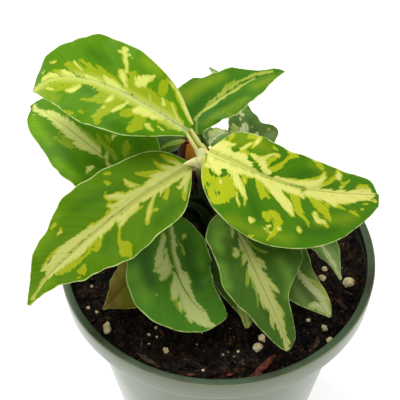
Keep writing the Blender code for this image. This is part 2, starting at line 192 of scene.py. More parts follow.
def close_shell(piece, weld):
    """Weld a piece's seams, fill its open ends and turn its faces outward."""
    make_active(piece)
    bpy.ops.object.mode_set(mode="EDIT")
    bpy.ops.mesh.select_all(action="SELECT")
    bpy.ops.mesh.remove_doubles(threshold=weld * MM)
    bpy.ops.mesh.select_all(action="DESELECT")
    bpy.ops.mesh.select_non_manifold()
    bpy.ops.mesh.fill_holes(sides=0)
    bpy.ops.mesh.select_all(action="SELECT")
    bpy.ops.mesh.normals_make_consistent(inside=False)
    bpy.ops.object.mode_set(mode="OBJECT")


# %% [markdown]
# A nursery pot is injection moulded in one go from polypropylene: a thin tapered wall, a shoulder,
# and an upright lip with a rounded edge, on a floor with drain holes. It is turned here as a potter
# would throw it: a half section is drawn and spun round the axis, and then the holes are cut.

# %% Pot
POT_STEPS = 160
LIP = 8.0
BODY_TOP = 47.6
BASE_RADIUS = 36.0
WALL = 1.3
RIM_WALL = 2.0
BEAD = 2.7
FLOOR = 2.0
FOOT_ROUND = 1.3
LIP_ROUND = 0.7
EDGE_ROUND = 0.4
DRAIN_HOLES = 6
DRAIN_RADIUS = 4.0
DRAIN_RING = 25.0
DRAIN_SIDES = 40
WELD = 0.01


def arc(centre, radius, start, end, steps=6):
    """Points of (radius, height) round a centre, between two angles in degrees."""
    turns = [math.radians(start + (end - start) * i / steps) for i in range(steps + 1)]
    return [(centre[0] + radius * math.cos(turn), centre[1] + radius * math.sin(turn)) for turn in turns]


shoulder = POT_HEIGHT - LIP
rim_inside = RIM_RADIUS - RIM_WALL
body_inside = BODY_TOP - WALL
base_inside = BASE_RADIUS - WALL
section = [(0, 0), (DRAIN_RING - 12, 0), (BASE_RADIUS - 3.2, 0)]
section += arc((BASE_RADIUS - 1.4, FOOT_ROUND), FOOT_ROUND, -90, -8)
section += [(BODY_TOP - 0.1, shoulder - 1.4)]
section += arc((BODY_TOP + 0.9, shoulder - 1.3), 1.0, 180, 90, 4)
section += [(RIM_RADIUS - 1.4, shoulder - 0.15)]
section += arc((RIM_RADIUS - 1.0, shoulder + 0.6), LIP_ROUND, -90, 0, 4)
section += arc((RIM_RADIUS - EDGE_ROUND, POT_HEIGHT - EDGE_ROUND), EDGE_ROUND, 0, 90, 5)
section += arc((RIM_RADIUS - BEAD + EDGE_ROUND, POT_HEIGHT - EDGE_ROUND), EDGE_ROUND, 90, 200, 5)
section += [(rim_inside, POT_HEIGHT - 1.5), (rim_inside - 0.1, shoulder + 2.0)]
section += [(rim_inside - 1.0, shoulder + 1.3), (body_inside + 0.8, shoulder + 1.0)]
section += [(body_inside, shoulder + 0.2), (base_inside + 0.2, FLOOR + 1.2)]
section += [(base_inside - 1.0, FLOOR), (0, FLOOR)]

deselect()
pot_mesh = bpy.data.meshes.new("pot")
pot_mesh.from_pydata(
    [(r * MM, 0, z * MM) for r, z in section], [(i, i + 1) for i in range(len(section) - 1)], []
)
pot = bpy.data.objects.new("pot_shell", pot_mesh)
bpy.context.scene.collection.objects.link(pot)
make_active(pot)
bpy.ops.object.mode_set(mode="EDIT")
bpy.ops.mesh.select_all(action="SELECT")
bpy.ops.mesh.spin(steps=POT_STEPS, angle=math.tau, center=(0, 0, 0), axis=(0, 0, 1))
bpy.ops.object.mode_set(mode="OBJECT")
close_shell(pot, WELD)

for i in range(DRAIN_HOLES):
    turn = math.tau * (i + 0.5) / DRAIN_HOLES
    bpy.ops.mesh.primitive_cylinder_add(
        vertices=DRAIN_SIDES, radius=DRAIN_RADIUS * MM, depth=4 * FLOOR * MM,
        location=Vector((math.cos(turn), math.sin(turn), 0)) * DRAIN_RING * MM,
    )
    drill = bpy.context.object
    apply_modifier(pot, "BOOLEAN", object=drill, operation="DIFFERENCE", solver="EXACT")
    bpy.data.objects.remove(drill)
print("pot faces:", len(pot.data.polygons))

# %% [markdown]
# The plastic is grey green polypropylene. It was moulded against a satin tool, so it has a soft
# sheen and a very fine orange peel. Handling leaves the outside dusty and pale. The rim's top is
# painted a darker green, which is painted shade, with smears of soil on it, and a pale line at its
# outer edge is wear and a painted highlight. The wall inside is painted near black, as soil stain and
# painted shade. The height and the distance from the axis pick the zone, and the dust is the sheen
# at grazing angles.

# %% Pot plastic
POT_DUSTY = linear("#606e52")
POT_DUSTIER = linear("#707d60")
# Darker green of the rim's top: painted shade.
POT_RIM_TOP_SHADE = linear("#40563a")
POT_DIRTY = linear("#34301a")
# Pale line on the rim's outer edge: wear and a painted highlight.
POT_WORN_AND_HIGHLIGHT = linear("#8f9173")
# Near black of the wall inside: soil stain and painted shade.
POT_STAIN_AND_SHADE = linear("#15160e")

pot_plastic, shader, add = start_material("moulded_polypropylene", 0.36, IOR=1.55, Sheen_Roughness=0.35)
place = add("TexCoord", output="Object")
height = add("SeparateXYZ", [place], output="Z")
cloud = add("TexNoise", (place, 60.0, 5.0, 0.6))
ragged = add("Math", (cloud, 0.0007, height), operation="MULTIPLY_ADD")
top = add("MapRange", (ragged, (POT_HEIGHT - 0.25) * MM, (POT_HEIGHT + 0.2) * MM), **SMOOTH)
dust = add("MapRange", (cloud, 0.3, 0.75, 0.0, 0.3))
body = add("Mix", (dust, POT_DUSTY, POT_DUSTIER), **COLOURS)
smear = add("MapRange", (cloud, 0.46, 0.6, 0.0, 0.75))
# The rim's top is painted darker, as painted shade, with real smears of soil mixed in.
shaded_rim_top = add("Mix", (smear, POT_RIM_TOP_SHADE, POT_DIRTY), **COLOURS)
painted = add("Mix", (top, body, shaded_rim_top), **COLOURS)

flat = add("VectorMath", (place, (1, 1, 0)), operation="MULTIPLY")
radius = add("VectorMath", [flat], operation="LENGTH")
# The wall inside, above the soil and under the top, is painted near black: soil stain and painted shade.
inside = add("MapRange", (radius, (RIM_RADIUS - 1.5) * MM, (RIM_RADIUS - 1.8) * MM))
above_floor = add("Math", (height, shoulder * MM), operation="GREATER_THAN")
under_top = add("MapRange", (height, (POT_HEIGHT - 0.3) * MM, (POT_HEIGHT - 0.8) * MM, 0.0, 0.9))
stain_and_shade = add("Math", (inside, above_floor), operation="MULTIPLY")
stain_and_shade = add("Math", (stain_and_shade, under_top), operation="MULTIPLY")
painted = add("Mix", (stain_and_shade, painted, POT_STAIN_AND_SHADE), **COLOURS)
# A pale line on the rounded outer edge of the rim's top: wear and a painted highlight.
outer = add("MapRange", (radius, (RIM_RADIUS - 0.5) * MM, (RIM_RADIUS - 0.3) * MM, 0.0, 0.8))
worn_and_highlight = add("Math", (outer, top), operation="MULTIPLY")
painted = add("Mix", (worn_and_highlight, painted, POT_WORN_AND_HIGHLIGHT), **COLOURS)

peel = add("TexNoise", (place, 900.0, 2.0))
rim_top_and_inside = add("Math", (top, stain_and_shade), operation="MAXIMUM")
fill(pot_plastic, shader, {
    "Base Color": painted,
    "Normal": add("Bump", {"Height": peel, "Strength": 0.12, "Distance": 0.0004}),
    "Roughness": add("MapRange", (cloud, 0.3, 0.7, 0.28, 0.42)),
    "Sheen Weight": add("MapRange", (rim_top_and_inside, 0.0, 0.8, 0.7, 0.0)),
    "Specular IOR Level": add("MapRange", (rim_top_and_inside, 0.0, 0.8, 0.5, 0.25)),
})
finish_piece(pot, "pot_shell", pot_plastic, ["pot"], angle=35)

# %% [markdown]
# Potting soil is peat, bark fines and perlite. Its surface is one closed body: a fine grid is bent
# into a disc, lifted by clump shaped noise, and its edge is carried down inside the pot. Loose
# crumbs, fibres, perlite and bark then lie on it.

# %% Soil body
SOIL_LEVEL = POT_HEIGHT - 5.0
SOIL_CELLS = 210
SOIL_EDGE = SOIL_RADIUS - 0.1
EDGE_BAND = 5.0
EDGE_DROP = 1.3
EDGE_RELIEF = 0.35
CRUMB_CELL = 2.6
CRUMB_HEIGHT = 1.5
RELIEFS = ((9.0, 1.3), (4.0, 1.2), (1.3, 0.6), (0.6, 0.3))  # width and height of each noise
MOUND = 1.2
MOUND_PLACE = (-2.0, 6.0)
MOUND_SPREAD = 500.0


def soil_relief(x, y):
    """The soil's relief in millimetres: wide waves, clumps, crumbs with their grit, and fine grain."""
    spot = Vector((x, y, 3.0))
    waves, clumps, grit, grain = (noise.noise(spot / across) * height for across, height in RELIEFS)
    crumbs = CRUMB_HEIGHT * (0.5 - min(noise.voronoi(spot / CRUMB_CELL)[0][0], 0.9)) + grit
    return waves, clumps, crumbs, grain


def soil_height(x, y):
    """Height of the soil in millimetres: a mound with its relief, which sinks a little at the pot."""
    edge = max(0.0, min(1.0, (SOIL_EDGE - math.hypot(x, y)) / EDGE_BAND))
    away = (x - MOUND_PLACE[0]) ** 2 + (y - MOUND_PLACE[1]) ** 2
    relief = sum(soil_relief(x, y)) * (EDGE_RELIEF + (1 - EDGE_RELIEF) * edge)
    return SOIL_LEVEL + MOUND * math.exp(-away / MOUND_SPREAD) + relief - EDGE_DROP * (1 - edge) ** 2


def soil_hollow(x, y):
    """How deep a point lies between the clumps: below zero in a gap, above it on a crumb."""
    _, clumps, crumbs, _ = soil_relief(x, y)
    return crumbs + clumps / 1.5


soil = start_grid(SOIL_CELLS, SOIL_CELLS)
points = np.array([v.co[:] for v in soil.data.vertices])
x, y = points[:, 0].copy(), points[:, 1].copy()
points[:, 0] = x * np.sqrt(1 - y * y / 2) * SOIL_EDGE
points[:, 1] = y * np.sqrt(1 - x * x / 2) * SOIL_EDGE
points[:, 2] = [soil_height(px, py) for px, py in points[:, :2]]
set_points(soil.data, points)
write_attribute(soil.data, "hollow", [(soil_hollow(px, py), 0, 0) for px, py in points[:, :2]])

clear_of_wall = body_inside - 0.4
skirt = (
    (SOIL_EDGE, shoulder + 2.2), (clear_of_wall + 0.6, shoulder + 1.4), (clear_of_wall, shoulder),
    (base_inside - 0.4, FLOOR + 1.8), (base_inside - 2.0, FLOOR + 0.3),
)
bpy.ops.object.mode_set(mode="EDIT")
bpy.ops.mesh.select_all(action="DESELECT")
bpy.ops.mesh.select_mode(type="EDGE")
bpy.ops.mesh.select_non_manifold()
for ring_radius, ring_height in skirt:
    bpy.ops.mesh.extrude_edges_move()
    bpy.ops.object.mode_set(mode="OBJECT")
    for vertex in soil.data.vertices:
        if vertex.select:
            out = Vector(vertex.co[:2]).normalized() * ring_radius * MM
            vertex.co = (*out, ring_height * MM)
    bpy.ops.object.mode_set(mode="EDIT")
bpy.ops.mesh.edge_face_add()
bpy.ops.mesh.select_all(action="SELECT")
bpy.ops.mesh.normals_make_consistent(inside=False)
bpy.ops.object.mode_set(mode="OBJECT")
print("soil faces:", len(soil.data.polygons))

# %% [markdown]
# Moist peat is nearly black, with browner and redder fibres in it, and it hardly shines. Two noises
# of different grain mix the browns, and the colour is painted darker in the hollows between the
# clumps and lighter on their tops, as painted shade and painted light.

# %% Soil finish
soil_peat, shader, add = start_material("moist_peat", 0.9, IOR=1.36, Specular_IOR_Level=0.3)
place = add("TexCoord", output="Object")
patch = add("TexNoise", (place, 130.0, 4.0, 0.7))
speck = add("TexNoise", (place, 900.0, 3.0, 0.7))
earth = add("ValToRGB", [patch])
for stop, position, hex_colour in zip(earth.node.color_ramp.elements, (0.42, 0.72), ("#040302", "#2a1c10")):
    stop.position = position
    stop.color = linear(hex_colour)
flecks = add("MapRange", (speck, 0.56, 0.68, 0.0, 0.8))
earth = add("Mix", (flecks, earth, linear("#664529")), **COLOURS)
hollow = add("Attribute", output="Vector", attribute_name="hollow")
# The colour is scaled by the depth between the clumps: painted shade in the hollows, painted light on the
# tops.
gap = add("MapRange", (add("SeparateXYZ", [hollow], output="X"), -0.5, 0.5, 0.12, 1.8))
fill(soil_peat, shader, {
    "Base Color": add("VectorMath", (earth, gap), operation="SCALE"),
    "Roughness": add("MapRange", (patch, 0.4, 0.65, 0.45, 0.95)),
    "Normal": add("Bump", {"Height": speck, "Strength": 1.0, "Distance": 0.0009}),
})
finish_piece(soil, "soil_body", soil_peat, ["soil"], angle=60)


# %% [markdown]
# Loose bits are modelled once and copied. A ball is pushed in and out by noise until it looks like
# a crumb, and every copy gets its own size and turn. The copies of one material are one piece, and
# they keep clear of the three stems, whose values come first.

# %% Scatter helpers
Stem = namedtuple("Stem", "name foot top foot_radius top_radius rings cap end")
STEMS = (
    Stem("stem_main", (1.0, 6.5), (0.5, 7.3, 121.0), 4.2, 3.0, 6, 0.6, 0.45),
    Stem("stem_back", (-12.0, 25.0), (-11.0, 22.0, 114.0), 4.4, 3.2, 4, 2.4, 0.14),
    Stem("stem_side", (20.0, 8.0), (19.0, 7.0, 98.0), 2.8, 2.0, 2, 2.6, 0.16),
)
STEM_CLEARANCE = 5.5
draw = random.Random(4)


def take_shape(obj, move):
    """Points, moved by a function, and faces of a helper object, which is then removed."""
    points = np.array([move(vertex.co) for vertex in obj.data.vertices])
    faces = [tuple(face.vertices) for face in obj.data.polygons]
    bpy.data.objects.remove(obj)
    return points, faces


def lumpy_ball(subdivisions, roughness, seed, squash=(1, 1, 1)):
    """Points and faces of a ball of radius 1 with a rough surface."""
    deselect()
    bpy.ops.mesh.primitive_ico_sphere_add(subdivisions=subdivisions, radius=1)

    def push(spot):
        coarse = noise.noise(spot * 1.3 + Vector((seed, 0, 0)))
        fine = noise.noise(spot * 3.1 + Vector((0, seed, 0)))
        return Vector(squash) * (spot * (1 + roughness * (coarse + 0.5 * fine)))

    return take_shape(bpy.context.object, push)


def strip(length, width, thickness, bend, seed, steps=10):
    """Points and faces of a torn strip of bark along X, rough along its edges."""
    deselect()
    bpy.ops.mesh.primitive_cube_add(size=1)
    bpy.ops.object.mode_set(mode="EDIT")
    bpy.ops.mesh.subdivide(number_cuts=steps)
    bpy.ops.object.mode_set(mode="OBJECT")

    def tear(spot):
        x, y, z = spot
        taper = 1 - (2 * abs(x)) ** 3 * 0.75
        torn = 1 + 0.5 * noise.noise(Vector((x * 7, seed, y)))
        splinter = 0.25 * noise.noise(Vector((x * 3, y * 9, seed)))
        return (x * length, y * width * taper * torn + bend * (x * x - 0.08),
                (z + splinter) * thickness + 0.12 * bend * x * x)

    return take_shape(bpy.context.object, tear)


def scatter(name, copies, finish, angle=60):
    """One piece from many copies of (points, faces, matrix), in millimetres."""
    all_points = []
    all_faces = []
    start = 0
    for points, faces, matrix in copies:
        all_points.append(points @ np.array(matrix.to_3x3()).T + np.array(matrix.translation))
        all_faces += [tuple(i + start for i in face) for face in faces]
        start += len(points)
    mesh = bpy.data.meshes.new(name)
    mesh.from_pydata((np.concatenate(all_points) * MM).tolist(), [], all_faces)
    obj = bpy.data.objects.new(name, mesh)
    bpy.context.scene.collection.objects.link(obj)
    print(name, "copies:", len(copies), "faces:", len(all_faces))
    return finish_piece(obj, name, finish, angle=angle)


def placed(x, y, lift, scale, turn, tilt=0.0):
    """A matrix that sets a copy down on the soil at x, y."""
    spot = Vector((x, y, soil_height(x, y) + lift))
    spin = Matrix.Rotation(turn, 4, "Z") @ Matrix.Rotation(tilt, 4, "X")
    return Matrix.Translation(spot) @ spin @ Matrix.Diagonal((*scale, 1))


def random_spot(from_edge):
    """A random x and y on the soil, this far inside its edge, and the direction they lie in."""
    reach = (SOIL_EDGE - from_edge) * math.sqrt(draw.random())
    turn = draw.uniform(0, math.tau)
    return reach * math.cos(turn), reach * math.sin(turn), turn


def clear_of_stems(x, y, reach):
    return all(math.hypot(x - stem.foot[0], y - stem.foot[1]) > STEM_CLEARANCE + reach for stem in STEMS)


# %% Soil crumbs
CRUMBS = 1500
RED_CRUMBS = 400
CRUMB_SIZES = (0.3, 1.3)  # the least, and how much more it may be
crumb_shapes = [lumpy_ball(2, 0.5, seed, (1, 0.8, 0.6)) for seed in range(5)]
copies = []
while len(copies) < CRUMBS:
    size = CRUMB_SIZES[0] + CRUMB_SIZES[1] * draw.random() ** 3
    x, y, _ = random_spot(size + 0.3)
    if clear_of_stems(x, y, size):
        matrix = placed(x, y, size * 0.15, (size, size, size), draw.uniform(0, 6), draw.uniform(-0.5, 0.5))
        copies.append((*draw.choice(crumb_shapes), matrix))
scatter("soil_crumbs", copies[:-RED_CRUMBS], soil_peat)
red_peat, *_ = start_material("red_peat", 0.8, IOR=1.36, Specular_IOR_Level=0.3, Base_Color=linear("#351e13"))
scatter("red_crumbs", copies[-RED_CRUMBS:], red_peat)

# %% [markdown]
# Peat is full of short fibres and root hairs, which lie across one another and give its surface a
# combed, matted look. Three thin curved slivers are modelled and strewn, half of them dark.

# %% Peat fibres
FIBRES_OF_A_TONE = 310
FIBRE_BENDS = (0.5, -0.7, 0.9)
FIBRE_LENGTHS = (1.5, 5.0)
fibre_shapes = [strip(1.0, 0.05, 0.04, bend, i + 40, steps=3) for i, bend in enumerate(FIBRE_BENDS)]
for name, hex_colour in (("dark_fibre", "#150c07"), ("brown_fibre", "#3c2415")):
    finish, *_ = start_material(name, 0.7, IOR=1.4, Specular_IOR_Level=0.25, Base_Color=linear(hex_colour))
    copies = []
    for _ in range(FIBRES_OF_A_TONE):
        x, y, turn = random_spot(2.5)
        size = draw.uniform(*FIBRE_LENGTHS)
        if clear_of_stems(x, y, 1):
            shape = draw.choice(fibre_shapes)
            lift, tilt = draw.uniform(0.1, 0.7), draw.uniform(-0.4, 0.4)
            copies.append((*shape, placed(x, y, lift, (size, size * 1.2, size), turn * 7, tilt)))
    scatter("peat_" + name, copies, finish)

# %% [markdown]
# Perlite is volcanic glass, puffed by heat into white foam. The grains in the photograph have dried
# cream coloured, up to 5 mm across, and they stand out against the peat. The ones that it shows are
# listed as x, y and size, and a few dozen crumbs of it are strewn over the rest.

# %% Perlite
PERLITE_SEEN = (
    # x, y, half width, how much longer it is than wide
    (-36.4, -29.4, 1.25, 1.9), (-16.9, -38.3, 0.95, 1.3), (36.1, -33.7, 1.2, 1.1), (44.6, -10.4, 1.9, 1),
    (35.6, -8.6, 1.3, 1), (36.8, -4.6, 1, 1), (34.9, -28.6, 1.1, 1.2), (14.0, -33.5, 1.2, 1.3),
    (12.6, -37.0, 1.5, 1), (29.5, -26.6, 0.7, 1), (-43.2, -20.9, 0.65, 1), (-22.6, -31.8, 0.5, 1),
    (-22.5, -34.9, 0.4, 1), (-20.0, -32.5, 0.4, 1), (-20.4, -28.9, 0.5, 1.2), (-7.0, -34.9, 0.35, 1),
    (3.0, -38.7, 0.4, 1), (4.9, -40.2, 0.3, 1), (6.2, -38.7, 0.45, 1), (-5.0, -45.5, 0.5, 1),
)
PERLITE_STREWN = 44
PERLITE_SIZES = (0.15, 0.6)  # the least, and how much more it may be

perlite, shader, add = start_material("expanded_perlite", 0.85, IOR=1.45, Subsurface_Weight=0.3,
                                      Subsurface_Scale=0.001)
place = add("TexCoord", output="Object")
mottle = add("MapRange", (add("TexNoise", (place, 500.0, 4.0)), 0.42, 0.7))
pores = add("TexVoronoi", (place, 2200.0))
fill(perlite, shader, {
    "Base Color": add("Mix", (mottle, linear("#fff0ba"), linear("#b8a468")), **COLOURS),
    "Normal": add("Bump", {"Height": pores, "Strength": 0.5, "Distance": 0.0003}),
})

perlite_shapes = [lumpy_ball(3, 0.38, seed + 20, (1, 0.85, 0.8)) for seed in range(5)]
crumb_of_perlite = [lumpy_ball(2, 0.4, seed + 30) for seed in range(3)]
copies = []
for i, (x, y, size, longer) in enumerate(PERLITE_SEEN):
    matrix = placed(x, y, size * 0.35, (size, size * longer, size), 0.2 * math.sin(i), 0.2)
    copies.append((*perlite_shapes[i % 5], matrix))
while len(copies) < len(PERLITE_SEEN) + PERLITE_STREWN:
    size = PERLITE_SIZES[0] + PERLITE_SIZES[1] * draw.random() ** 4
    x, y, turn = random_spot(2)
    if clear_of_stems(x, y, size):
        copies.append((*draw.choice(crumb_of_perlite), placed(x, y, size * 0.4, (size,) * 3, turn * 3)))
scatter("perlite", copies, perlite)

# %% [markdown]
# Bark fines are torn strips of pine bark. Two long red brown ones lie against the wall at the front,
# and shorter ones, some of them paler and weathered, lie to both sides. Each is a cube cut fine and
# then torn by noise, and the finish is rough and dull, with streaks along the grain.

# %% Bark strips
BARK_SEEN = (
    # x, y, length, width, turn in degrees, tone
    (13.8, -44.9, 12.5, 1.6, 46, "red"), (15.2, -44.0, 9.0, 0.9, 50, "red"),
    (-22.4, -41.8, 9.5, 1.2, -35, "grey"), (38.5, -36.0, 4.0, 0.9, 60, "red"),
    (-9.0, -47.2, 3.4, 0.9, -5, "red"), (41.0, -19.5, 6.0, 1.2, -50, "grey"),
    (44.0, -14.8, 3.5, 0.9, -30, "grey"), (3.5, -47.0, 2.8, 0.8, 10, "red"),
    (31.5, -35.0, 5.0, 1.4, 70, "grey"),
)
BARK_STREWN_OF_A_TONE = 22

for tone, name, light, dark in (
    ("red", "red_pine_bark", "#8a3f2a", "#3a1810"), ("grey", "weathered_bark", "#5e4630", "#241a12"),
):
    finish, shader, add = start_material(name, 0.8, IOR=1.45)
    streak = add("TexNoise", (add("TexCoord", output="Object"), 700.0, 4.0, 0.65))
    grade = add("MapRange", (streak, 0.35, 0.68))
    fill(finish, shader, {
        "Base Color": add("Mix", (grade, linear(dark), linear(light)), **COLOURS),
        "Normal": add("Bump", {"Height": streak, "Strength": 0.6, "Distance": 0.0004}),
    })
    copies = []
    for i, (x, y, length, width, turn, seen_tone) in enumerate(BARK_SEEN):
        if seen_tone == tone:
            shape = strip(length, width, 1.0, 0.8, i + 1)
            copies.append((*shape, placed(x, y, 0.7, (1, 1, 1), math.radians(turn), 0.25)))
    shapes = [strip(4.0, 1.0, 0.6, 0.9, seed + 9, steps=5) for seed in range(3)]
    for _ in range(BARK_STREWN_OF_A_TONE):
        x, y, turn = random_spot(4)
        size = draw.uniform(0.3, 0.9)
        if clear_of_stems(x, y, 2):
            shape = draw.choice(shapes)
            copies.append((*shape, placed(x, y, 0.3, (size, size, size), turn * 5, draw.uniform(-1, 1))))
    scatter(tone + "_bark", copies, finish)


# %% [markdown]
# The leaf's shape is the same as in the solid model, so the same values describe it: a midrib from
# base through bend to tip, half widths of each side at set places along it, how the blade leans and
# folds, and the waves along its edge. Here it is only drawn far finer. A real midrib is never quite
# in the middle, so it also wanders a little from side to side.

# %% Leaf values
Leaf = namedtuple("Leaf", "name stem seat turn base bend tip left right lean fold wave waves")

EDGE_PLACES = (0, .04, .1, .2, .3, .4, .5, .6, .7, .8, .9, .96, 1)
LEAVES = (
    Leaf("leaf_back_left", "stem_main", 123, None, (-9.6, 8, 141), (-48, 28, 158), (-62, 34.5, 134),
         (2.2, 4.4, 8, 12.2, 13.7, 14.2, 13.6, 11.4, 9.5, 7.2, 4, 1.8, 0.4),
         (2.8, 5.2, 8.8, 12.2, 14.2, 15.1, 14.8, 13.4, 11.5, 8.8, 4.6, 2, 0.5), -32, 6, 0.8, 3.5),
    Leaf("leaf_right", "stem_main", 117.5, 325, (-3, 1.3, 139), (14, -13, 136), (51, -3, 122),
         (1.2, 5.6, 9.2, 11, 11.4, 11, 10.3, 9.7, 8.8, 7.4, 6.4, 4.8, 0.4),
         (1.5, 6.6, 10.6, 14.8, 17.2, 19, 19.8, 19.4, 18, 15.4, 10.1, 6.2, 2.8), 43, 6, 0.8, 3.0),
    Leaf("leaf_front_left", "stem_main", 113, 190, (-9, 2.5, 131), (-53, -18, 117), (-58, -38, 112),
         (1, 8, 13.9, 15.7, 17.5, 16.8, 15, 12.9, 9.9, 6.1, 3, 1.6, 0.9),
         (2, 8.1, 12.2, 13.6, 15.1, 15.2, 12.5, 9.9, 7.6, 4.4, 1.8, 0.9, 0.4), -6, 6, 0.9, 4.0),
    Leaf("leaf_front", "stem_main", 104, 215, (-15, -2.5, 119), (-19.5, -28, 101), (2.5, -32.5, 99),
         (1, 1.6, 7, 11.4, 12.2, 12.4, 12, 10.8, 9.3, 7.6, 5.3, 3, 0.5),
         (1.1, 6.5, 10.5, 14.2, 15.5, 16.6, 17, 16.5, 13.4, 10.3, 7, 3.5, 0.9), -4, 6, 0.9, 3.0),
    Leaf("leaf_front_right", "stem_main", 98, 318, (3, -3.5, 117), (11.4, -28.8, 116.3), (21.5, -44, 97),
         (1.1, 6, 10.5, 13.9, 15.8, 16.9, 16, 11.4, 7.3, 5.4, 4.6, 3.4, 0.8),
         (1.1, 5, 8.8, 12, 12.1, 12.2, 12.7, 11.4, 9.3, 7, 4.4, 2.7, 1), -9, 6, 1.0, 2.5),
    Leaf("leaf_back_right", "stem_main", 110, 75, (-6, 14.5, 133.3), (-7, 27.5, 142), (23, 45, 134),
         (1, 7.5, 9.8, 11, 11.5, 10.2, 8.6, 7.2, 6.3, 3.8, 2.3, 1.8, 0.4),
         (1, 1.7, 4, 6.5, 8.9, 9.8, 9.9, 9.6, 8.4, 6.4, 3.4, 1.5, 0.4), 12, 12, 0.7, 3.0),
    Leaf("leaf_low_left", "stem_main", 94, 165, (-25, 10, 109), (-48, 23, 130), (-66.5, 46.5, 116.5),
         (1.1, 9, 13.5, 14.6, 14.4, 14.8, 13.6, 11.9, 10.6, 8.7, 5.5, 1.4, 0.4),
         (1.1, 10, 15, 18.4, 19, 18, 16.5, 14.5, 12, 9.5, 7, 5, 2.8), -16, 6, 0.8, 3.0),
    Leaf("leaf_inner_left", "stem_back", 104, 95, (-11, 29, 117), (-24, 34.5, 119), (-36, 37.5, 111),
         (1.1, 3, 5.5, 7.5, 8.5, 8.5, 8, 7, 5.6, 4, 2.2, 1.2, 0.4),
         (1.1, 2.4, 3.6, 4.6, 5, 5, 4.6, 4, 3.2, 2.4, 1.4, 0.8, 0.4), -30, 6, 0.5, 2.5),
    Leaf("leaf_low_back", "stem_back", 100, 40, (9, 24, 118), (14, 32, 121), (-2.5, 64, 120),
         (1, 2.5, 4.5, 6.4, 6.9, 6.2, 5.2, 4.4, 3.6, 2.8, 1.4, 0.8, 0.4),
         (1, 4, 7.6, 10, 10.8, 6.9, 4.9, 3.4, 3, 2.8, 2.6, 1.6, 0.4), 10, 6, 0.7, 3.0),
    Leaf("leaf_inner_back", "stem_back", 95, 90, (-7, 33, 104), (-1, 38, 112), (4, 45, 106),
         (1, 2, 3, 3.8, 4, 4, 4.2, 4, 3.8, 3.2, 1.4, 1.1, 0.8),
         (1, 2.6, 4.3, 6.1, 7.2, 7.8, 8, 7.8, 7.2, 6.1, 4.3, 2.6, 0.4), 8, 6, 0.5, 2.0),
    Leaf("leaf_low_front", "stem_main", 92, 262, (0, -2, 101), (6, -17, 100), (9, -33, 93),
         (1.1, 3.3, 5.4, 7.3, 8.2, 8.5, 8.2, 7.5, 6.3, 4.7, 2.6, 2, 0.6),
         (1.1, 2.8, 4.6, 6.4, 7.2, 7.5, 7.3, 6.6, 5.4, 3, 1.2, 0.9, 0.5), -5, 6, 0.5, 2.5),
    Leaf("leaf_small_front", "stem_side", 90, 250, (21, -3.5, 108), (20, -18.5, 109), (35.5, -31.5, 97),
         (1, 2.4, 4, 5.4, 6.1, 6.2, 5.7, 5, 4.6, 4.3, 3.5, 2.1, 0.4),
         (1.1, 4, 6.5, 8.9, 10.1, 10.5, 10, 9.2, 8, 5.7, 2.9, 1.3, 0.4), 7, 6, 0.5, 2.5),
    Leaf("leaf_small_right", "stem_side", 91, 0, (29, 0.5, 106), (33.5, -10.5, 108), (40, -18, 99),
         (1.1, 2.1, 3.4, 4.7, 5.3, 5.5, 5.3, 4.8, 4.1, 2.8, 1.4, 0.7, 0.4),
         (1.1, 1.5, 2.5, 3.4, 3.9, 4, 3.2, 2.4, 1.6, 0.9, 0.7, 0.6, 0.5), 6, 6, 0.4, 2.0),
    Leaf("leaf_old", "stem_main", 89, 210, (-22, -4, 102), (-27.5, -16, 96), (-38, -23, 89.5),
         (1.1, 4.4, 7.2, 9.8, 11.1, 11.5, 11.2, 10, 8.8, 5.8, 2.4, 1, 0.4),
         (1.1, 2.7, 4.4, 6, 6.8, 7, 5.8, 5.2, 4.7, 3.2, 1.6, 0.8, 0.4), -11, 8, 0.8, 3.0),
)

# How far the midrib lies to the left of the middle line, at six even places.
RIB_DRIFT = {
    "leaf_back_left": (0.3, 0.3, 0, 0, 0, 0), "leaf_right": (-0.5, 0.75, 0.6, -0.25, 0.3, 1),
    "leaf_front_left": (0, 0.5, 1.6, 1.9, 0.9, 0.6), "leaf_front": (-1.2, -0.1, 0.65, 0.1, -1.2, -0.3),
    "leaf_front_right": (0, -0.3, -0.1, 0.2, 0.5, 0.3), "leaf_low_left": (0, 0, 0, 0, -0.2, -2.4),
    "leaf_back_right": (1, 1.6, -0.6, -1.3, 0, 0),
}


def bezier(points, s):
    """The point at s, from 0 to 1, on the Bezier curve of these points."""
    points = [Vector(p) for p in points]
    while len(points) > 1:
        points = [a.lerp(b, s) for a, b in zip(points, points[1:])]
    return points[0]


def blade_frame(leaf, s):
    """Midrib point, forward, left and upper-face directions at s."""
    start, bend, tip = Vector(leaf.base), Vector(leaf.bend), Vector(leaf.tip)
    chord = (tip - start).normalized()
    level_left = Vector((0, 0, 1)).cross(chord).normalized()
    level_up = chord.cross(level_left)
    lean = math.radians(leaf.lean)
    up = level_up * math.cos(lean) - level_left * math.sin(lean)
    forward = ((bend - start) * (1 - s) + (tip - bend) * s).normalized()
    up = (up - forward * up.dot(forward)).normalized()
    return bezier((start, bend, tip), s), forward, up.cross(forward), up


def half_width(leaf, s, side):
    """Distance from the middle line to the edge, a smooth curve through the given ones."""
    widths = leaf.left if side > 0 else leaf.right
    last = len(EDGE_PLACES) - 2
    i = min(last, max(0, sum(place <= s for place in EDGE_PLACES) - 1))
    slopes = []
    for knot in (i, i + 1):
        before, after = max(0, knot - 1), min(last + 1, knot + 1)
        slopes.append((widths[after] - widths[before]) / (EDGE_PLACES[after] - EDGE_PLACES[before]))
    span = EDGE_PLACES[i + 1] - EDGE_PLACES[i]
    t = (s - EDGE_PLACES[i]) / span
    line = widths[i] * (1 - t) + widths[i + 1] * t
    rise = (widths[i + 1] - widths[i]) / span
    curve = (slopes[0] - rise) * (1 - t) - (slopes[1] - rise) * t
    return max(0.3, line + t * (1 - t) * span * curve)


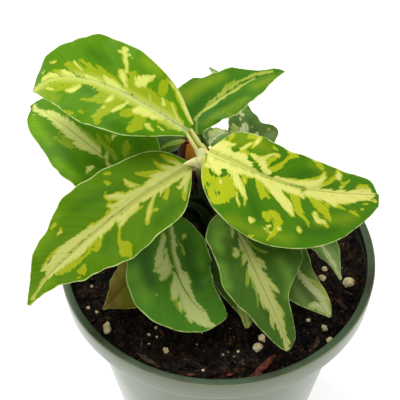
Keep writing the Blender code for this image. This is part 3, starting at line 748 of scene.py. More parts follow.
def rib_drift(leaf, s):
    """How far left of the middle line the midrib lies at s, in millimetres."""
    return float(np.interp(s, np.linspace(0, 1, 6), RIB_DRIFT.get(leaf.name, (0,) * 6)))


print("leaves:", len(LEAVES), "stems:", len(STEMS))

# %% [markdown]
# The markings are where cells of the leaf lack green. They stream out of the midrib along the side
# veins and end in torn points, so each is written as a stroke of a brush on the leaf: place after
# place along it, each with its share of the leaf's length, its distance from the middle line in
# millimetres (plus on the left) and the stroke's half width there. Cream and lime are the two pale
# colours, a gap takes green back out of them, and the paler and darker green strokes are partly the
# leaf's own tone and partly painted light and painted shade, such as the light and dark bands of a
# fold and light laid over the shadow of a leaf above.

# %% Leaf markings
# In each leaf the paler and darker green strokes are partly its own tone and partly painted light and painted
# shade.
MARKS = {
    "leaf_back_left": {
        "cream": (
            (.10, 1.6, .4, .14, 2.2, 1.1, .19, 2.6, 1.5, .21, 3.6, .7),
            (.105, 6.1, .3, .125, 6, .4, .14, 5.6, .5, .13, 4.9, .2), (.076, 4.3, .3, .096, 4.15, .25),
            (.255, 2.2, .5, .265, 3.6, .6, .28, 5.2, .6, .293, 6.8, .5),
            (.33, 2.6, .6, .34, 3.8, .9, .35, 4.9, .5), (.337, 6.6, .3, .346, 7.3, .7, .352, 7.8, .2),
            (.53, 2.8, .7, .55, 4.2, 1.2, .58, 4.9, .9, .605, 5.1, .5),
            (.73, 4.2, .3, .755, 4, .7, .785, 3.4, .6, .82, 2.9, .3),
            (.29, -.7, .4, .33, -.9, .8, .38, -1.4, 1, .415, -2.5, .5),
            (.43, -.3, .5, .47, -.5, .8, .515, -1.1, .6),
            (.59, -.3, .6, .62, -.7, 1, .66, -1.5, 1, .69, -2.1, .4),
            (.71, -.5, .4, .75, -1, .8, .80, -1.5, .9, .85, -1.3, .8, .87, -.9, .3),
            (.545, -2.7, .2, .575, -3.6, .3, .60, -4.7, .5, .613, -5.2, .3),
            (.74, -5.6, .2, .76, -5.2, .4, .79, -5.6, .2), (.835, -3.5, .3, .86, -3.1, .3),
            (.207, -9.1, .3, .222, -7.6, .9, .245, -5.9, 1.8, .25, -4.8, 1.3),
            (.292, -2.3, .5, .31, -3.4, .9, .33, -4.8, 1.1, .345, -5.8, .7),
            (.322, -6.4, .5, .33, -7.8, .4, .335, -8.6, .5, .35, -10, .6, .36, -11.3, .7, .375, -12.6, .9,
             .378, -13.6, .2), (.338, -11.6, .3, .36, -11.6, .6, .39, -11.8, .4),
            (.32, -11.1, .2, .325, -11.2, .2), (.05, -1, .3, .075, -2.5, .3, .10, -4.2, .25),
            (.125, -2.8, .5, .14, -4.2, .3), (.17, -1.6, .2, .185, -2.6, .35, .195, -3.6, .2),
            (0, -2.5, .6, .03, -4.2, .6, .07, -6.4, .6, .11, -8.6, .4, .15, -9.9, .25),
        ),
        "lime": (
            (.04, -.6, .8, .08, -1.6, 1.6, .14, -2.2, 2.2, .22, -2.6, 2.6, .28, -3, 2.4),
            (.155, -5.2, 1, .155, -7, 1.2, .158, -9, 1.1, .16, -10.2, .6),
            (.27, -4.5, 1.6, .29, -6.6, 1.2, .285, -7.7, .4),
            (.31, -1.5, .8, .36, -2.4, .8, .41, -3.4, .8, .45, -4.6, .5, .48, -5.5, .15),
            (.41, -1.4, 1, .45, -2.4, 1.4, .50, -3.4, 1.5, .54, -4.6, 1.1, .57, -5.6, .6, .585, -5.9, .2),
            (.54, -1.4, 1.2, .58, -2.5, 1.5, .62, -3.4, 1.4, .65, -4, 1, .67, -4.2, .5),
            (.66, -1, 1, .70, -1.8, .9, .75, -2.5, .5, .78, -2.8, .2),
            (.03, 1.2, .8, .07, 2, 1.1, .10, 2.2, .9),
            (.10, 1, 1, .20, 1.2, 1.6, .30, 1.6, 2, .38, 1.8, 2, .42, 1, 1, .52, 1, 1, .70, .8, 1.2, .90,
             .4, 1, 1, 0, .5), (.17, 3.5, 1.6, .18, 5.5, 1.5, .17, 7.5, 1.6, .18, 8.8, 1.6),
            (.225, 4.6, 1.5, .24, 5.6, 1.5, .25, 6.6, .9),
            (.30, 3.5, 2, .32, 5.8, 2.2, .34, 8, 1.6, .35, 9.6, 1.1, .345, 11, 1.5, .335, 12.2, 1.1, .335,
             13, .3), (.36, 10.6, .7, .38, 11.4, .2),
            (.33, 4.4, 1.2, .38, 5.4, 1, .42, 6.1, .8, .46, 6.8, .5, .49, 7.1, .2),
            (.36, 3.4, 1.6, .39, 4.2, 1, .42, 4.8, .4), (.42, 2.4, .5),
            (.53, 2.2, 1, .58, 3.2, 1.5, .65, 3.2, 1.9, .72, 3.2, 1.9, .80, 2.6, 1.5, .88, 1.6, 1.1, .96,
             .6, .7), (.50, 12.2, .5, .53, 12.2, .6, .56, 11.9, .3),
            (.44, 10.9, .5, .46, 10.8, .5, .475, 11.1, .2),
        ),
        "gap": (
            (.515, -3.4, .15, .54, -4.1, .35, .57, -5, .3, .60, -5.5, .1), (.645, 3.1, .2, .66, 3.1, .2),
        ),
        "paler_and_painted_light": ((.66, 8, 1.5, .78, 6, 2.6, .9, 3, 3, 1, 1, 2.5), (.2, -11.5, 1.5, .26, -12, 1.5)),
        "deep": (
            (.41, 4.6, .3, .46, 3.2, 1.2, .51, 3.4, .8), (.12, 9, 1, .24, 10.5, 1.6, .30, 11, 1.2),
            (.42, -6.6, .8, .48, -8, 1.6, .54, -9, .8),
        ),
    },
    "leaf_right": {
        "cream": (
            (.01, 1.6, .9, .05, 2.8, 1.8, .09, 2.9, 1.8, .13, 2.8, 1.2),
            (.05, 4.4, .8, .09, 4.6, .9, .11, 5, .7, .135, 5.6, .3),
            (.20, -1, .7, .28, -.8, .8, .36, -.6, .7, .43, -1, .7), (.33, 4.9, .8, .355, 5.2, .7),
            (.46, .9, .4, .52, 1, .5, .58, 1.2, .7, .64, 1.6, 1, .68, 2.2, 1.1, .70, 3.2, .9, .71, 4.4, .6),
            (.66, -.2, .8, .74, 0, .9, .82, .3, 1),
            (.15, 2.6, .8, .20, 3.2, 1.2, .25, 3, 1.3, .30, 2.3, .9),
            (.185, 5.2, .5, .205, 5.9, .7, .22, 6.9, .6, .235, 7.9, .4, .25, 8.3, .2),
            (.262, 7.3, .2, .27, 8.3, .5, .275, 9.4, .9, .28, 10.4, .9, .29, 10.8, .3),
            (.265, 5.3, .3, .29, 5, .7, .32, 4.4, .8, .35, 4.2, 1.1, .37, 3.6, 1.3, .39, 2.5, .9, .42, 2,
             .5), (.36, 5.4, .5, .375, 6.5, .45, .40, 7.5, .35, .425, 7.8, .3, .44, 7.5, .3),
            (.66, 1.3, .5, .69, 2.4, .6, .705, 3.8, .7, .71, 5, .4, .71, 5.8, .15),
            (.783, 6.9, .3, .788, 5.8, .8, .795, 4.7, .5),
            (.80, .2, .7, .86, .6, 1.2, .91, .7, 1.4, .95, 1.1, 1.3, .965, .8, .8),
            (.92, 2, .6, .95, 2.3, .5), (.03, -1.6, .8, .06, -2.6, 1.3, .10, -3, 1.6, .13, -4, 1.2),
            (.05, -4.2, .8, .07, -4.4, .6),
            (.10, -1.9, .9, .16, -1.6, 1.1, .22, -1.6, 1.3, .26, -1, .9, .29, -.8, .4),
            (.20, -2.2, 1, .235, -3.2, 1.3, .265, -4.6, 1.2, .295, -6, 1, .325, -7.3, .8, .34, -8.2, .4),
            (.335, -8.6, .3, .345, -9.8, .3, .35, -10.6, .1),
            (.28, -7.7, .35, .295, -9.2, .4, .315, -10.5, .35, .323, -11.2, .15),
            (.283, -2.3, .15, .297, -2.9, .25, .305, -3.6, .1),
            (.165, -6.1, .35, .175, -6.7, .5, .182, -7.1, .2),
            (.35, -.7, .3, .40, -1.1, .6, .44, -2, 1.1, .48, -3.2, 1.6, .52, -4.6, 1.7, .55, -6, 1.4,
             .575, -7.6, 1.1, .59, -8.9, .5), (.44, -.9, .5, .50, -1.3, .8, .56, -1.6, 1, .60, -1.5, .9),
            (.62, -2.3, .6, .635, -3.2, .2), (.64, -1.4, .6, .72, -1.8, 1.2, .78, -2.2, 1.6, .79, -3.6, .9),
            (.695, -7.1, .5, .705, -8.2, .7, .72, -9.2, .7, .745, -9.4, .6, .768, -10.6, .15),
            (.80, -1.6, 1.6, .85, -1.6, 1.2, .90, -.9, .9, .95, -.4, .6), (.923, -3.8, .3, .928, -3.8, .2),
            (.98, -1, .3, .985, -1.3, .2), (.393, -13.4, .5, .403, -14, .8, .412, -14, .5),
            (.628, -12.7, .3, .635, -13.4, .5, .638, -13.8, .3), (.54, -14.2, .5, .535, -13.8, .3),
            (.49, -14, .5, .50, -14, .3), (.46, -14.7, .15, .49, -15.6, .2, .51, -15.9, .15),
            (.645, 9.1, .3, .67, 9, .3),
        ),
        "lime": (
            (.01, 1, .9, .2, 1.4, 1, .34, 1.2, .6), (.01, -.8, .9, .2, -.5, 1, .32, -.4, .5),
            (.20, 4.4, .8, .25, 5, .6),
            (.355, -1.4, .4, .38, -2.8, 1, .405, -4.2, 1.2, .42, -5.2, 1, .42, -6.6, .3),
            (.43, -4.8, .9, .46, -5.5, .4),
            (.575, -3, 1, .595, -4.6, 1.3, .61, -6.4, 1.2, .62, -7.9, 1, .65, -9.1, .8, .67, -10.4, .6,
             .68, -11.5, .25),
            (.69, -3, 1.2, .71, -4.2, 1.5, .735, -5.6, 1.4, .755, -7, 1.2, .775, -8.4, .6, .788, -9.1, .2),
            (.76, -3, 1.6, .80, -3.5, 1.2, .83, -4.2, .6, .85, -4.6, .2),
            (.865, -4.8, .5, .885, -5.2, .6, .905, -6.2, .3, .913, -6.7, .1),
            (.925, -2.4, .4, .945, -2.2, .4), (.81, 2.2, .7, .825, 3.2, .9, .845, 4.2, .5, .847, 5, .2),
            (.81, 3.8, .5), (.89, 2.8, .7, .905, 3.5, .9, .93, 3.2, .8, .95, 2.8, .5),
            (.705, 1.6, .5, .73, 2.6, .7, .75, 3.6, .8, .77, 4.9, .6),
            (.395, 4, .8, .40, 5.6, 1.1, .42, 6.4, .9),
            (.41, 2.8, .8, .445, 3.6, .9, .465, 4.9, .8, .485, 6.6, .7, .505, 8.2, .6, .535, 8.8, .4),
            (.485, 9.7, .3, .51, 9.4, .5, .54, 9.2, .6, .558, 8.8, .3),
            (.65, 8.7, .4, .675, 8, .8, .695, 7, .5, .70, 6.5, .2),
            (.075, 7.5, .9, .09, 7.4, .7, .085, 6.3, .6), (.20, 10, .7, .24, 10.2, .8),
            (.22, 10, .5, .24, 10.2, .8, .26, 10.5, .8), (.045, 5.4, .8, .055, 4.6, .9, .04, 3.8, .5),
            (.12, -7.4, 1.2, .16, -8, 2.4, .21, -7.4, 2.8, .235, -8.6, 2.6, .225, -10.8, 2, .20, -12.6, .9),
            (.15, -10.2, 1.4, .18, -12, 1.3, .20, -13.3, .4), (.20, -5.4, 1.8, .235, -6, 1.3),
            (.03, -2.6, 1, .06, -5, 1.7, .09, -7.6, 1.6, .12, -9.8, 1.2), (.12, -7, 1.2, .15, -9, 1.6),
            (.455, -11.5, .6, .47, -11, 1.3, .485, -10, 1.2, .51, -10.8, 1.2, .53, -12, 1.2, .535, -13.6,
             1, .525, -15, .9, .513, -16.6, .6, .50, -18.4, .35), (.475, -12.3, .7),
            (.413, -18.5, .3, .427, -18.6, .5, .436, -18.2, .3), (.39, 9.6, .35, .42, 9.2, .3),
        ),
        "gap": (
            (.265, 3.4, .3, .28, 3.6, .5, .295, 3.4, .3), (.30, 2.5, .2, .32, 2.9, .45, .34, 3.1, .2),
            (.14, 4, .5, .16, 4.7, .6, .185, 5, .3), (.15, -3.2, .6, .165, -3.2, .9, .178, -3.7, .6),
            (.36, -.9, .08, .40, -2, .15, .43, -3.2, .15), (.075, -4.9, .3, .095, -5.6, .5, .112, -6.2, .3),
            (.11, -9, .4, .125, -9.6, .35),
        ),
        "paler_and_painted_light": (
            (.05, 6, 2.5, .12, 8, 3, .22, 8.6, 2.4, .36, 8.8, 1.8),
            (.3, -16, 1.2, .45, -17, 1.4, .6, -16.5, 1), (.64, 7.4, .8, .72, 6.4, 1, .8, 5.4, .8),
            (.72, -10.5, 1, .80, -8.6, 1.6, .88, -6.4, 1),
        ),
        "deep": (
            (.33, -6.2, .8, .39, -9, 1.8, .42, -12, 1.6), (.56, 3, 1, .62, 4.6, 1.4, .66, 5.4, .6),
            (.66, -13, 1.4, .74, -12.4, 1.6, .80, -11, 1.2),
        ),
    },
    "leaf_front_left": {
        "cream": (
            (.02, 2.4, 1, .045, 4.4, 1, .065, 5.4, .5, .074, 4.6, .2),
            (.03, 1.8, .8, .10, 2.2, .8, .20, 2, .7), (.03, 4, .5, .05, 6.4, .4, .062, 8.4, .15),
            (.115, 2.6, .5, .13, 3.4, .3, .14, 4.4, .12),
            (.14, 2.4, .4, .16, 3.4, .3, .18, 5, .35, .20, 6.8, .5, .215, 8.2, .5, .228, 9.5, .3, .236,
             10.7, .1), (.18, 7.8, .3), (.23, 2.6, .9, .27, 2.9, 1.2, .31, 3.2, 1.3),
            (.23, 3.6, .5, .27, 4, .8, .30, 4.6, .9, .325, 5, .7, .336, 5.9, .3),
            (.32, 1.8, .9, .38, 1.9, .9, .46, 2.2, .9, .54, 2.4, 1),
            (.35, 2.8, .9, .42, 3, 1.2, .48, 3.2, 1.2, .54, 3.8, 1.1, .59, 4.2, .5),
            (.54, 2.6, 1.3, .62, 2.6, 1.3, .68, 2.2, 1.2, .73, 1.8, .9, .78, 1.2, .5, .85, .9, .35, .95,
             .7, .3),
            (.03, -1.5, .8, .08, -1.6, 1.2, .14, -1.5, 1.2, .20, -1.8, 1, .24, -2, 1.1, .28, -1.6, 1.1,
             .305, -1.6, .8, .314, -3, .4),
            (.255, -3, .9, .27, -4, 1, .29, -5, .8, .305, -6, .35, .307, -6.5, .1),
            (.18, -.6, .6, .26, -.3, .7, .32, 0, .6), (.03, -2.5, .5, .043, -4.2, .3, .05, -5.6, .15),
            (.06, -2.8, .8, .072, -3.8, .5, .08, -5, .2), (.10, -2.6, .9, .12, -3.2, .6, .13, -4, .2),
            (.165, -1.8, .15, .18, -3, .3, .20, -4.4, .5, .209, -6, .45, .213, -7.6, .1),
            (.32, 0, .4, .40, .2, .6, .48, .1, .8, .56, 0, .9, .66, .2, .8, .76, .4, .5),
            (.42, -.7, .4, .46, -.6, .7, .52, -.8, .8, .58, -1, 1.1, .64, -1.2, 1.2, .70, -1, 1.2, .74,
             -1.2, .8, .76, -1.6, .3), (.538, -9.2, .2, .56, -9.2, .2), (.335, -1.2, .12), (.295, -7.3, .2),
            (.54, -6.2, .5, .56, -6.1, .3),
        ),
        "lime": (
            (.01, 1, .9, .2, 1.4, 1, .34, 2, .8), (.01, -.8, .9, .2, -.4, 1, .3, 0, .6),
            (.05, 6.5, .7, .065, 8.5, .6, .075, 10.5, .3),
            (.105, 3.8, .5, .115, 4.8, .8, .125, 5.6, .7, .125, 6.6, .35), (.22, 4, .6, .25, 4.4, .5),
            (.035, -3.6, .7, .05, -6, .7, .06, -8.4, .3),
            (.33, 5.4, .7, .345, 6.8, .5, .36, 8.2, .35, .372, 9.6, .5, .375, 10.8, .9, .375, 12.6, 1.9,
             .38, 14, 2, .378, 15.6, 1, .375, 16.4, .3), (.355, 13.2, 1.2, .365, 14.6, .8),
            (.39, 12.6, 1, .398, 14.2, .9),
            (.44, 5, .8, .465, 5.8, 1.4, .48, 7, .9, .49, 6.2, .9, .52, 6, .7, .56, 6, .7, .60, 5.6, 1,
             .64, 5, 1.1, .68, 4.6, 1, .71, 4.2, .9, .73, 3.2, .5),
            (.42, 4.4, .6, .48, 4.8, .6, .62, 4.4, .9, .70, 3.4, .8),
            (.58, 8.3, .5, .60, 8.9, 1, .62, 9.4, 1.1, .63, 8.4, .8), (.65, 9.9, .4, .675, 9.4, .2),
            (.11, -3.8, 1, .135, -4.6, 1.1, .15, -5.8, .8, .163, -7, .4, .167, -7.6, .1),
            (.07, -3.6, .9, .088, -5.6, .6, .092, -8.6, .1),
            (.60, -2.2, .5, .66, -2.7, .5, .72, -2.2, .5, .758, -1.8, .3),
            (.26, -9, .4, .268, -9.2, .8, .272, -10.4, .5, .275, -11, .2),
            (.243, -11.8, .4, .255, -12.6, .5),
            (.53, -6.9, .4, .54, -6.4, .7, .555, -6.1, .6, .572, -6.1, .2),
        ),
        "gap": (
            (.048, 2.6, .15, .06, 3.6, .25, .07, 4.3, .2), (.50, 6.2, .2, .51, 6, .2),
            (.53, 5.6, .2, .545, 5.3, .3, .56, 5.4, .2), (.66, -2, .15, .69, -1.6, .25, .71, -1.6, .2),
            (.17, -2.2, .1, .19, -3.2, .15),
        ),
        "paler_and_painted_light": ((.80, 3, 2, .9, 1.5, 1.6, 1, 0, 1.6), (.5, -11, 1.5, .6, -8.5, 1.5, .7, -6.5, 1.2)),
        "deep": (
            (.08, 10, 1, .14, 10.5, 2, .20, 12, 1.5), (.24, -6, .8, .34, -8, 2, .42, -9, 1.4),
            (.36, 5.6, .3, .42, 7.5, 1, .46, 9, .6),
        ),
    },
    "leaf_front": {
        "cream": (
            (.13, .5, .5, .17, .9, .5), (.19, 1.2, .6, .24, 1.3, .8),
            (.175, 5.2, .25, .185, 4.6, .5, .205, 4.1, .2),
            (.24, 1, .5, .30, 1.1, .5, .36, 1.4, .8, .41, 1.5, .9, .45, 1.5, .9, .50, 1.8, 1.2, .55, 2.2,
             1.2, .565, 3, .3), (.48, 2.6, .7, .52, 2.9, .5),
            (.55, 1.3, .9, .60, 1.2, .8, .65, .9, .5, .69, .6, .2),
            (.19, -2, .5, .24, -2.8, 1, .29, -3.6, 1.5, .33, -4.6, 1.5, .36, -5.6, .9),
            (.27, -1.8, .6, .33, -2.2, 1, .38, -2.8, 1.4, .40, -4.4, 1.3, .395, -6, .7, .39, -7.2, .2),
            (.38, -1.6, .9, .42, -2.6, 1, .44, -4, .8, .45, -5.4, .5, .455, -6.3, .2),
            (.44, -.6, .4, .48, -1, .7, .53, -2, 1.3, .57, -3.2, 1.5, .60, -4.5, 1, .605, -5.4, .4),
            (.5, -.4, .6, .58, -1, 1, .66, -1.8, 1.6, .72, -3, 2.2, .78, -4, 2.2, .84, -4.6, 1.6, .89,
             -4.9, 1.1, .925, -4.6, .6), (.68, -.2, .5, .75, -.8, .8, .82, -1.8, 1, .87, -3.2, 1),
            (.66, -4.6, .7, .69, -5.8, .5), (.75, -5.8, .7, .79, -6.6, .4), (.53, -9.4, .2),
        ),
        "lime": (
            (.37, -6.4, .5, .39, -7.2, .3), (.43, -5, .8, .455, -6.2, .5), (.60, -4.6, .6, .62, -5.6, .3),
            (.64, -5, 1, .68, -5.9, .7, .71, -6.2, .4), (.76, -6.4, .4),
            (.24, 3.6, .3, .28, 4, .5, .32, 4.3, .3), (.21, 2.6, .3, .24, 3, .3),
            (.76, -3, 1.2, .84, -4, 1),
        ),
        "gap": (
            (.285, -1.9, .15, .31, -2.4, .3, .335, -3.2, .2),
            (.61, -3.2, .15, .625, -3.8, .3, .64, -4.4, .25),
        ),
        "paler_and_painted_light": ((.4, -14, 3, .5, -13, 2.5), (.15, 10, 1.5, .3, 10, 1.5, .4, 9.6, 1.6, .5, 9, 1)),
        "deep": (
            (.2, -8, 1, .32, -9.5, 2, .44, -9.5, 1.4), (.2, 5, 1, .35, 4.6, 1.6, .5, 5.6, 1.8, .66, 4, 1.6),
        ),
    },
    "leaf_front_right": {
        "cream": (
            (.19, 0, .15, .24, 0, .8, .30, .1, 1.3, .36, .3, 1.8, .42, .2, 2.2, .50, 0, 2.4, .58, 0, 2.7,
             .66, .1, 2.3, .72, .4, 1.8, .79, .2, 1.8, .86, .3, 1.1, .92, .3, .9, .97, -.1, 1.2, .985,
             -.1, .6), (.40, 2.2, .8, .44, 3, .6, .475, 3.4, .2),
            (.55, 2.2, .8, .60, 3, .8, .635, 3.9, .5, .65, 4.4, .2),
            (.73, 2.2, .4, .76, 2.5, .35, .79, 2.6, .15), (.83, 1.2, .4, .86, 1.6, .2),
            (.35, -1.4, .6, .39, -2.6, .5, .405, -3.2, .2), (.64, -2.2, .6, .69, -2.7, .4, .71, -2.8, .15),
            (.78, -1.6, .6, .82, -2.2, .4, .845, -2.3, .15), (.24, -.9, .3, .28, -1.3, .5, .31, -1.6, .4),
            (.15, -1.6, .2, .18, -2, .4, .205, -2.7, .3, .225, -3.1, .12),
            (.305, -3.6, .7, .33, -3.8, .8, .34, -4.9, .6),
        ),
        "lime": (
            (.27, 1.8, .3, .32, 2.9, .5, .355, 4.4, .5, .375, 5.8, .35, .38, 6.3, .12),
            (.24, 1.4, .3, .30, 2.1, .3), (.36, -2.5, .3, .40, -3.2, .6, .42, -4.6, .15),
            (.45, -2.9, .3, .49, -3.6, .6, .53, -4.6, .7, .555, -5.6, .15),
            (.60, -3, .5, .63, -3.2, .5, .65, -3.8, .4, .69, -4.8, .12),
        ),
        "gap": (
            (.53, -2.4, .12, .56, -2.6, .2, .58, -2.6, .1), (.46, 2.2, .15, .49, 2.4, .25, .51, 2.6, .1),
        ),
        "paler_and_painted_light": (
            (.12, 7, 3, .22, 9.5, 3), (.12, -5, 3, .26, -8, 2.5),
            (.46, 8.6, 1.4, .54, 9.6, 1.6, .62, 9.4, 1.4, .7, 7, 1), (.4, -11, 1.2, .5, -11.5, 1.4),
        ),
        "deep": ((.25, -6, 1.2, .36, -7, 1.6), (.7, -2.4, .8, .75, -2.4, .9)),
    },
    "leaf_back_right": {
        "cream": (
            (.14, 2, .3, .22, 1.2, .4, .32, -.8, .3, .40, -1.3, .3, .50, -1.5, .3, .60, -1.4, .35, .70,
             -.8, .3, .80, 0, .25),
        ),
        "lime": (
            (.25, .4, .4, .3, -.1, .9, .36, -.1, 1, .42, 0, .8, .45, .2, .3),
            (.46, 0, .6, .50, -.1, .8, .53, 0, .5),
            (.52, .3, .4, .56, .6, .9, .60, .7, 1.1, .64, .7, 1, .68, .8, .7, .71, .9, .4),
            (.70, .8, .4, .76, 1, .5, .82, 1.4, .6, .87, 1.2, .6, .93, .8, .4),
        ),
        "paler_and_painted_light": (
            (.3, 8, 2.5, .45, 6, 2, .6, 5, 1.2),
            (.12, -1.6, .7, .2, -3.2, .9, .3, -4.8, 1, .4, -6, 1.1, .55, -6.4, 1),
            (.34, -8.4, 1.2, .46, -8.8, 1.6, .6, -7.6, 1.2), (.75, -4, 1.2, .9, -2, 1),
        ),
        "deep": (
            (.17, .2, .3, .24, -1.4, .9, .32, -2.7, 1.1, .42, -3.8, 1.2, .52, -4.6, .9, .62, -4.8, .5),
            (.16, 4, .8, .3, 3, .9, .45, 2.4, .7), (.36, -9, .4, .6, -9, .4),
        ),
    },
    "leaf_low_left": {
        "cream": (
            (.34, -.8, .6, .42, -.6, 1, .52, -.8, 1.3, .62, -1, 1.4, .72, -1.6, 1.1, .80, -1.4, .8),
            (.30, .2, .15, .36, .3, 1.2, .42, .9, 2, .46, 1.4, 2, .50, .8, 1.9, .56, 1.4, 1.8, .6, .5,
             1.7, .66, .3, 1.6, .72, -.4, 1.8, .78, -.3, 1.6, .84, .3, 1.5, .90, .5, 1.2, .94, .2, 1,
             .965, -.6, .7, .975, -1, .3), (.305, 8, .5, .31, 6.5, .8, .305, 5.2, .5), (.888, 2.6, .5),
            (.335, -6.6, .3, .345, -7.6, .7, .335, -8.4, .3),
            (.235, .9, .2, .26, .8, .25, .28, 0, .3, .295, -.9, .3, .305, -1.9, .25, .31, -2.9, .15),
        ),
        "lime": (
            (.48, 4.8, .8, .53, 5, 1, .58, 5.2, .9, .61, 5.6, .7, .60, 6.6, .3),
            (.36, -1.4, .9, .42, -1.6, 1.2, .48, -2, 1.2, .53, -2.2, .9, .57, -2.6, .3),
            (.50, 3.6, .6, .56, 4, .9, .60, 4, .8, .62, 3.2, .4),
            (.24, -2.4, .6, .28, -3, 1, .33, -3.4, 1, .37, -3.4, .8, .43, -4.6, .4),
            (.33, -5, .4, .36, -5.8, .8, .385, -6, .4),
            (.21, -4.8, .4, .23, -6, 1, .25, -8, 1.3, .27, -9.2, .6),
        ),
        "gap": ((.57, 5, .15, .59, 4.6, .3, .60, 4, .3, .605, 3.4, .2),),
        "paler_and_painted_light": ((.31, 12, .9, .42, 12, 1, .5, 12, .6), (.62, 8, 1.6, .75, 7, 2, .88, 4, 1.2)),
        "deep": (
            (.32, 9, 1, .40, 8, 2, .5, 7.4, 1), (.26, 3, 1.2, .34, 4.4, 1.6), (.2, -11, 1.5, .3, -12, 1.5),
        ),
    },
    "leaf_inner_left": {
        "lime": ((.02, 1, .8, .10, 2.2, 1, .2, 4, .8, .25, 5.4, .4),),
        "paler_and_painted_light": ((.72, 6, 1, .8, 5, 1.2, .88, 3, .8),),
        "deep": ((.3, 3, 2, .55, 5, 2),),
    },
    "leaf_low_back": {
        "cream": (
            (.21, -2.6, .6, .235, -3, .9, .26, -3.4, .5),
            (.255, 1.4, 1.6, .29, 1.6, 1.3, .33, .9, .9, .37, .6, .6, .41, .2, .15),
            (.28, -.2, .3, .34, -.2, .4, .40, 0, .2), (.43, 1.4, .3, .46, 1.3, .3, .47, 1.2, .1),
            (.50, .1, .5, .7, .1, .6, .95, 0, .3),
        ),
        "lime": (
            (.24, 4.6, 1.5, .29, 4.8, 1.4, .34, 4.6, .7, .38, 4.7, .2),
            (.24, 3.6, .6, .3, 3.6, .6, .33, 3.4, .3), (.33, -1.8, .3, .345, -2.3, .3, .36, -2.6, .1),
            (.29, -7.6, .4, .31, -7.7, .4),
        ),
        "gap": ((.26, 3, .1, .32, 2.6, .2, .38, 2.6, .1),),
        "paler_and_painted_light": ((.21, -7, 1.6, .24, -8.6, 1.4), (.96, 0, 2)),
        "deep": ((.36, 3.6, .5, .46, 3, .8), (.28, -2.4, .8, .44, -2, .8)),
    },
    "leaf_inner_back": {
        "cream": ((.1, 0, .5, .4, 0, .6, .8, 0, .4),),
        "lime": ((.55, 1.4, 1.4, .7, 1, 1.8, .85, .4, 1.2),),
        "paler_and_painted_light": ((.5, .5, 2, .9, 0, 2),),
        "deep": ((.1, 0, 2, .36, .6, 1.8), (.48, 3, .8, .52, 2.4, .8)),
    },
    "leaf_low_front": {
        "cream": (
            (.15, .1, .4, .4, .3, 1, .6, 0, 1.1, .8, 0, .8), (.955, .8, .4, .975, .6, .6),
            (.4, 1.4, .7, .5, 2.6, .3),
        ),
        "lime": ((.80, -1.4, .7, .86, -.6, .9, .90, 0, 1.2, .95, .5, 1.2, .99, .4, .8),),
        "paler_and_painted_light": ((.75, 0, 1, .9, 0, 1.6),),
        "deep": ((.1, -4, 1.6, .4, -5.4, 2, .62, -4.6, 1.4),),
    },
    "leaf_small_front": {
        "cream": (
            (.3, .2, .3, .5, .4, .5, .62, .6, .8, .68, .7, 1, .74, .8, .9, .80, 1.6, 1.1, .86, 1.9, 1,
             .90, 1.4, .8, .93, .6, .6, .97, 0, .5),
            (.89, 1, .5, .90, -.3, .5, .87, -1.2, .5, .86, -2.4, .4, .85, -3, .2),
        ),
        "lime": (
            (.72, 3.2, .7, .8, 3.6, .8, .88, 3, .8, .93, 1.8, .6, .98, .4, .5),
            (.66, 1.4, .6, .70, 2.4, .6, .74, 3.4, .5), (.93, -.6, .6, .9, -1.8, .5),
        ),
        "gap": (
            (.64, -1.8, .2, .68, -1.4, .6, .74, -1, .9, .79, -.4, .8, .82, -1, .8, .80, -1.8, .5, .72,
             -1.9, .4, .66, -2, .15),
        ),
        "paler_and_painted_light": (
            (.65, -3.4, 1, .8, -3.6, 1.4), (.66, 4, 1.2, .76, 4, 1),
            (.78, 1, 2.4, .9, .4, 2.4, .98, 0, 1.4),
        ),
        "deep": ((.66, -1.4, .8, .74, -1, 1.1, .81, -1, 1), (.45, 5, 1, .55, 4.4, 1)),
    },
    "leaf_small_right": {
        "cream": ((.2, .1, .3, .5, .2, .4, .9, .1, .25), (.74, .6, .3, .82, .8, .25)),
        "lime": ((.85, .2, .4, .97, .1, .4),),
        "paler_and_painted_light": ((.5, .8, 1.6, .75, 1, 2, .95, .4, 1.4),),
        "deep": ((.3, 3, 1, .5, 3, 1),),
    },
    "leaf_old": {
        "lime": ((.62, 2.6, .8, .68, 3, 1),),
        "paler_and_painted_light": ((.5, -4, 1.6, .7, -3.6, 1.4), (.85, 1, 2, .95, 0, 2)),
        "deep": ((.8, -2, 1.4, .88, 1, 1.6),),
    },
}
print("strokes:", sum(len(strokes) for tones in MARKS.values() for strokes in tones.values()))


# %% [markdown]
# For each point of a blade, the depth inside the nearest stroke is kept with the mesh. A depth
# changes smoothly over the blade, so a coarse mesh can carry it, and the material turns it into a
# crisp edge. The second number says how far the edge may be torn: little on a fine streak and more
# on a broad patch.

# %% Depth inside the strokes
FAR_OUTSIDE = -6.0
PLAIN_TEAR = 0.25
LEAST_TEAR = 0.14
MOST_TEAR = 0.75


def stroke_depth(strokes, along, across, length):
    """How deep each point lies inside the strokes, and how torn the edge is, in millimetres."""
    depth = np.full(len(along), FAR_OUTSIDE)
    tear = np.full(len(along), PLAIN_TEAR)
    for stroke in strokes:
        places = np.array(stroke).reshape(-1, 3) * (length, 1, 1)
        for start, end in zip(places, list(places[1:]) or places):
            line = end[:2] - start[:2]
            share = ((along - start[0]) * line[0] + (across - start[1]) * line[1]) / max(line @ line, 0.01)
            share = np.clip(share, 0, 1)
            away = np.hypot(along - start[0] - share * line[0], across - start[1] - share * line[1])
            wide = start[2] + (end[2] - start[2]) * share
            better = wide - away > depth
            depth[better] = (wide - away)[better]
            tear[better] = np.clip(0.5 * wide[better], LEAST_TEAR, MOST_TEAR)
    return depth, tear


# %% [markdown]
# A blade starts as a plain grid. Its columns crowd towards the midrib, where the form changes most,
# and every point is moved to its place on the leaf: out to the edge, up along the fold, over the
# waves of the margin and into the shallow troughs of the side veins. Solidify gives the thin wall,
# and the midrib is then raised underneath and sunk on top, as on the real leaf.

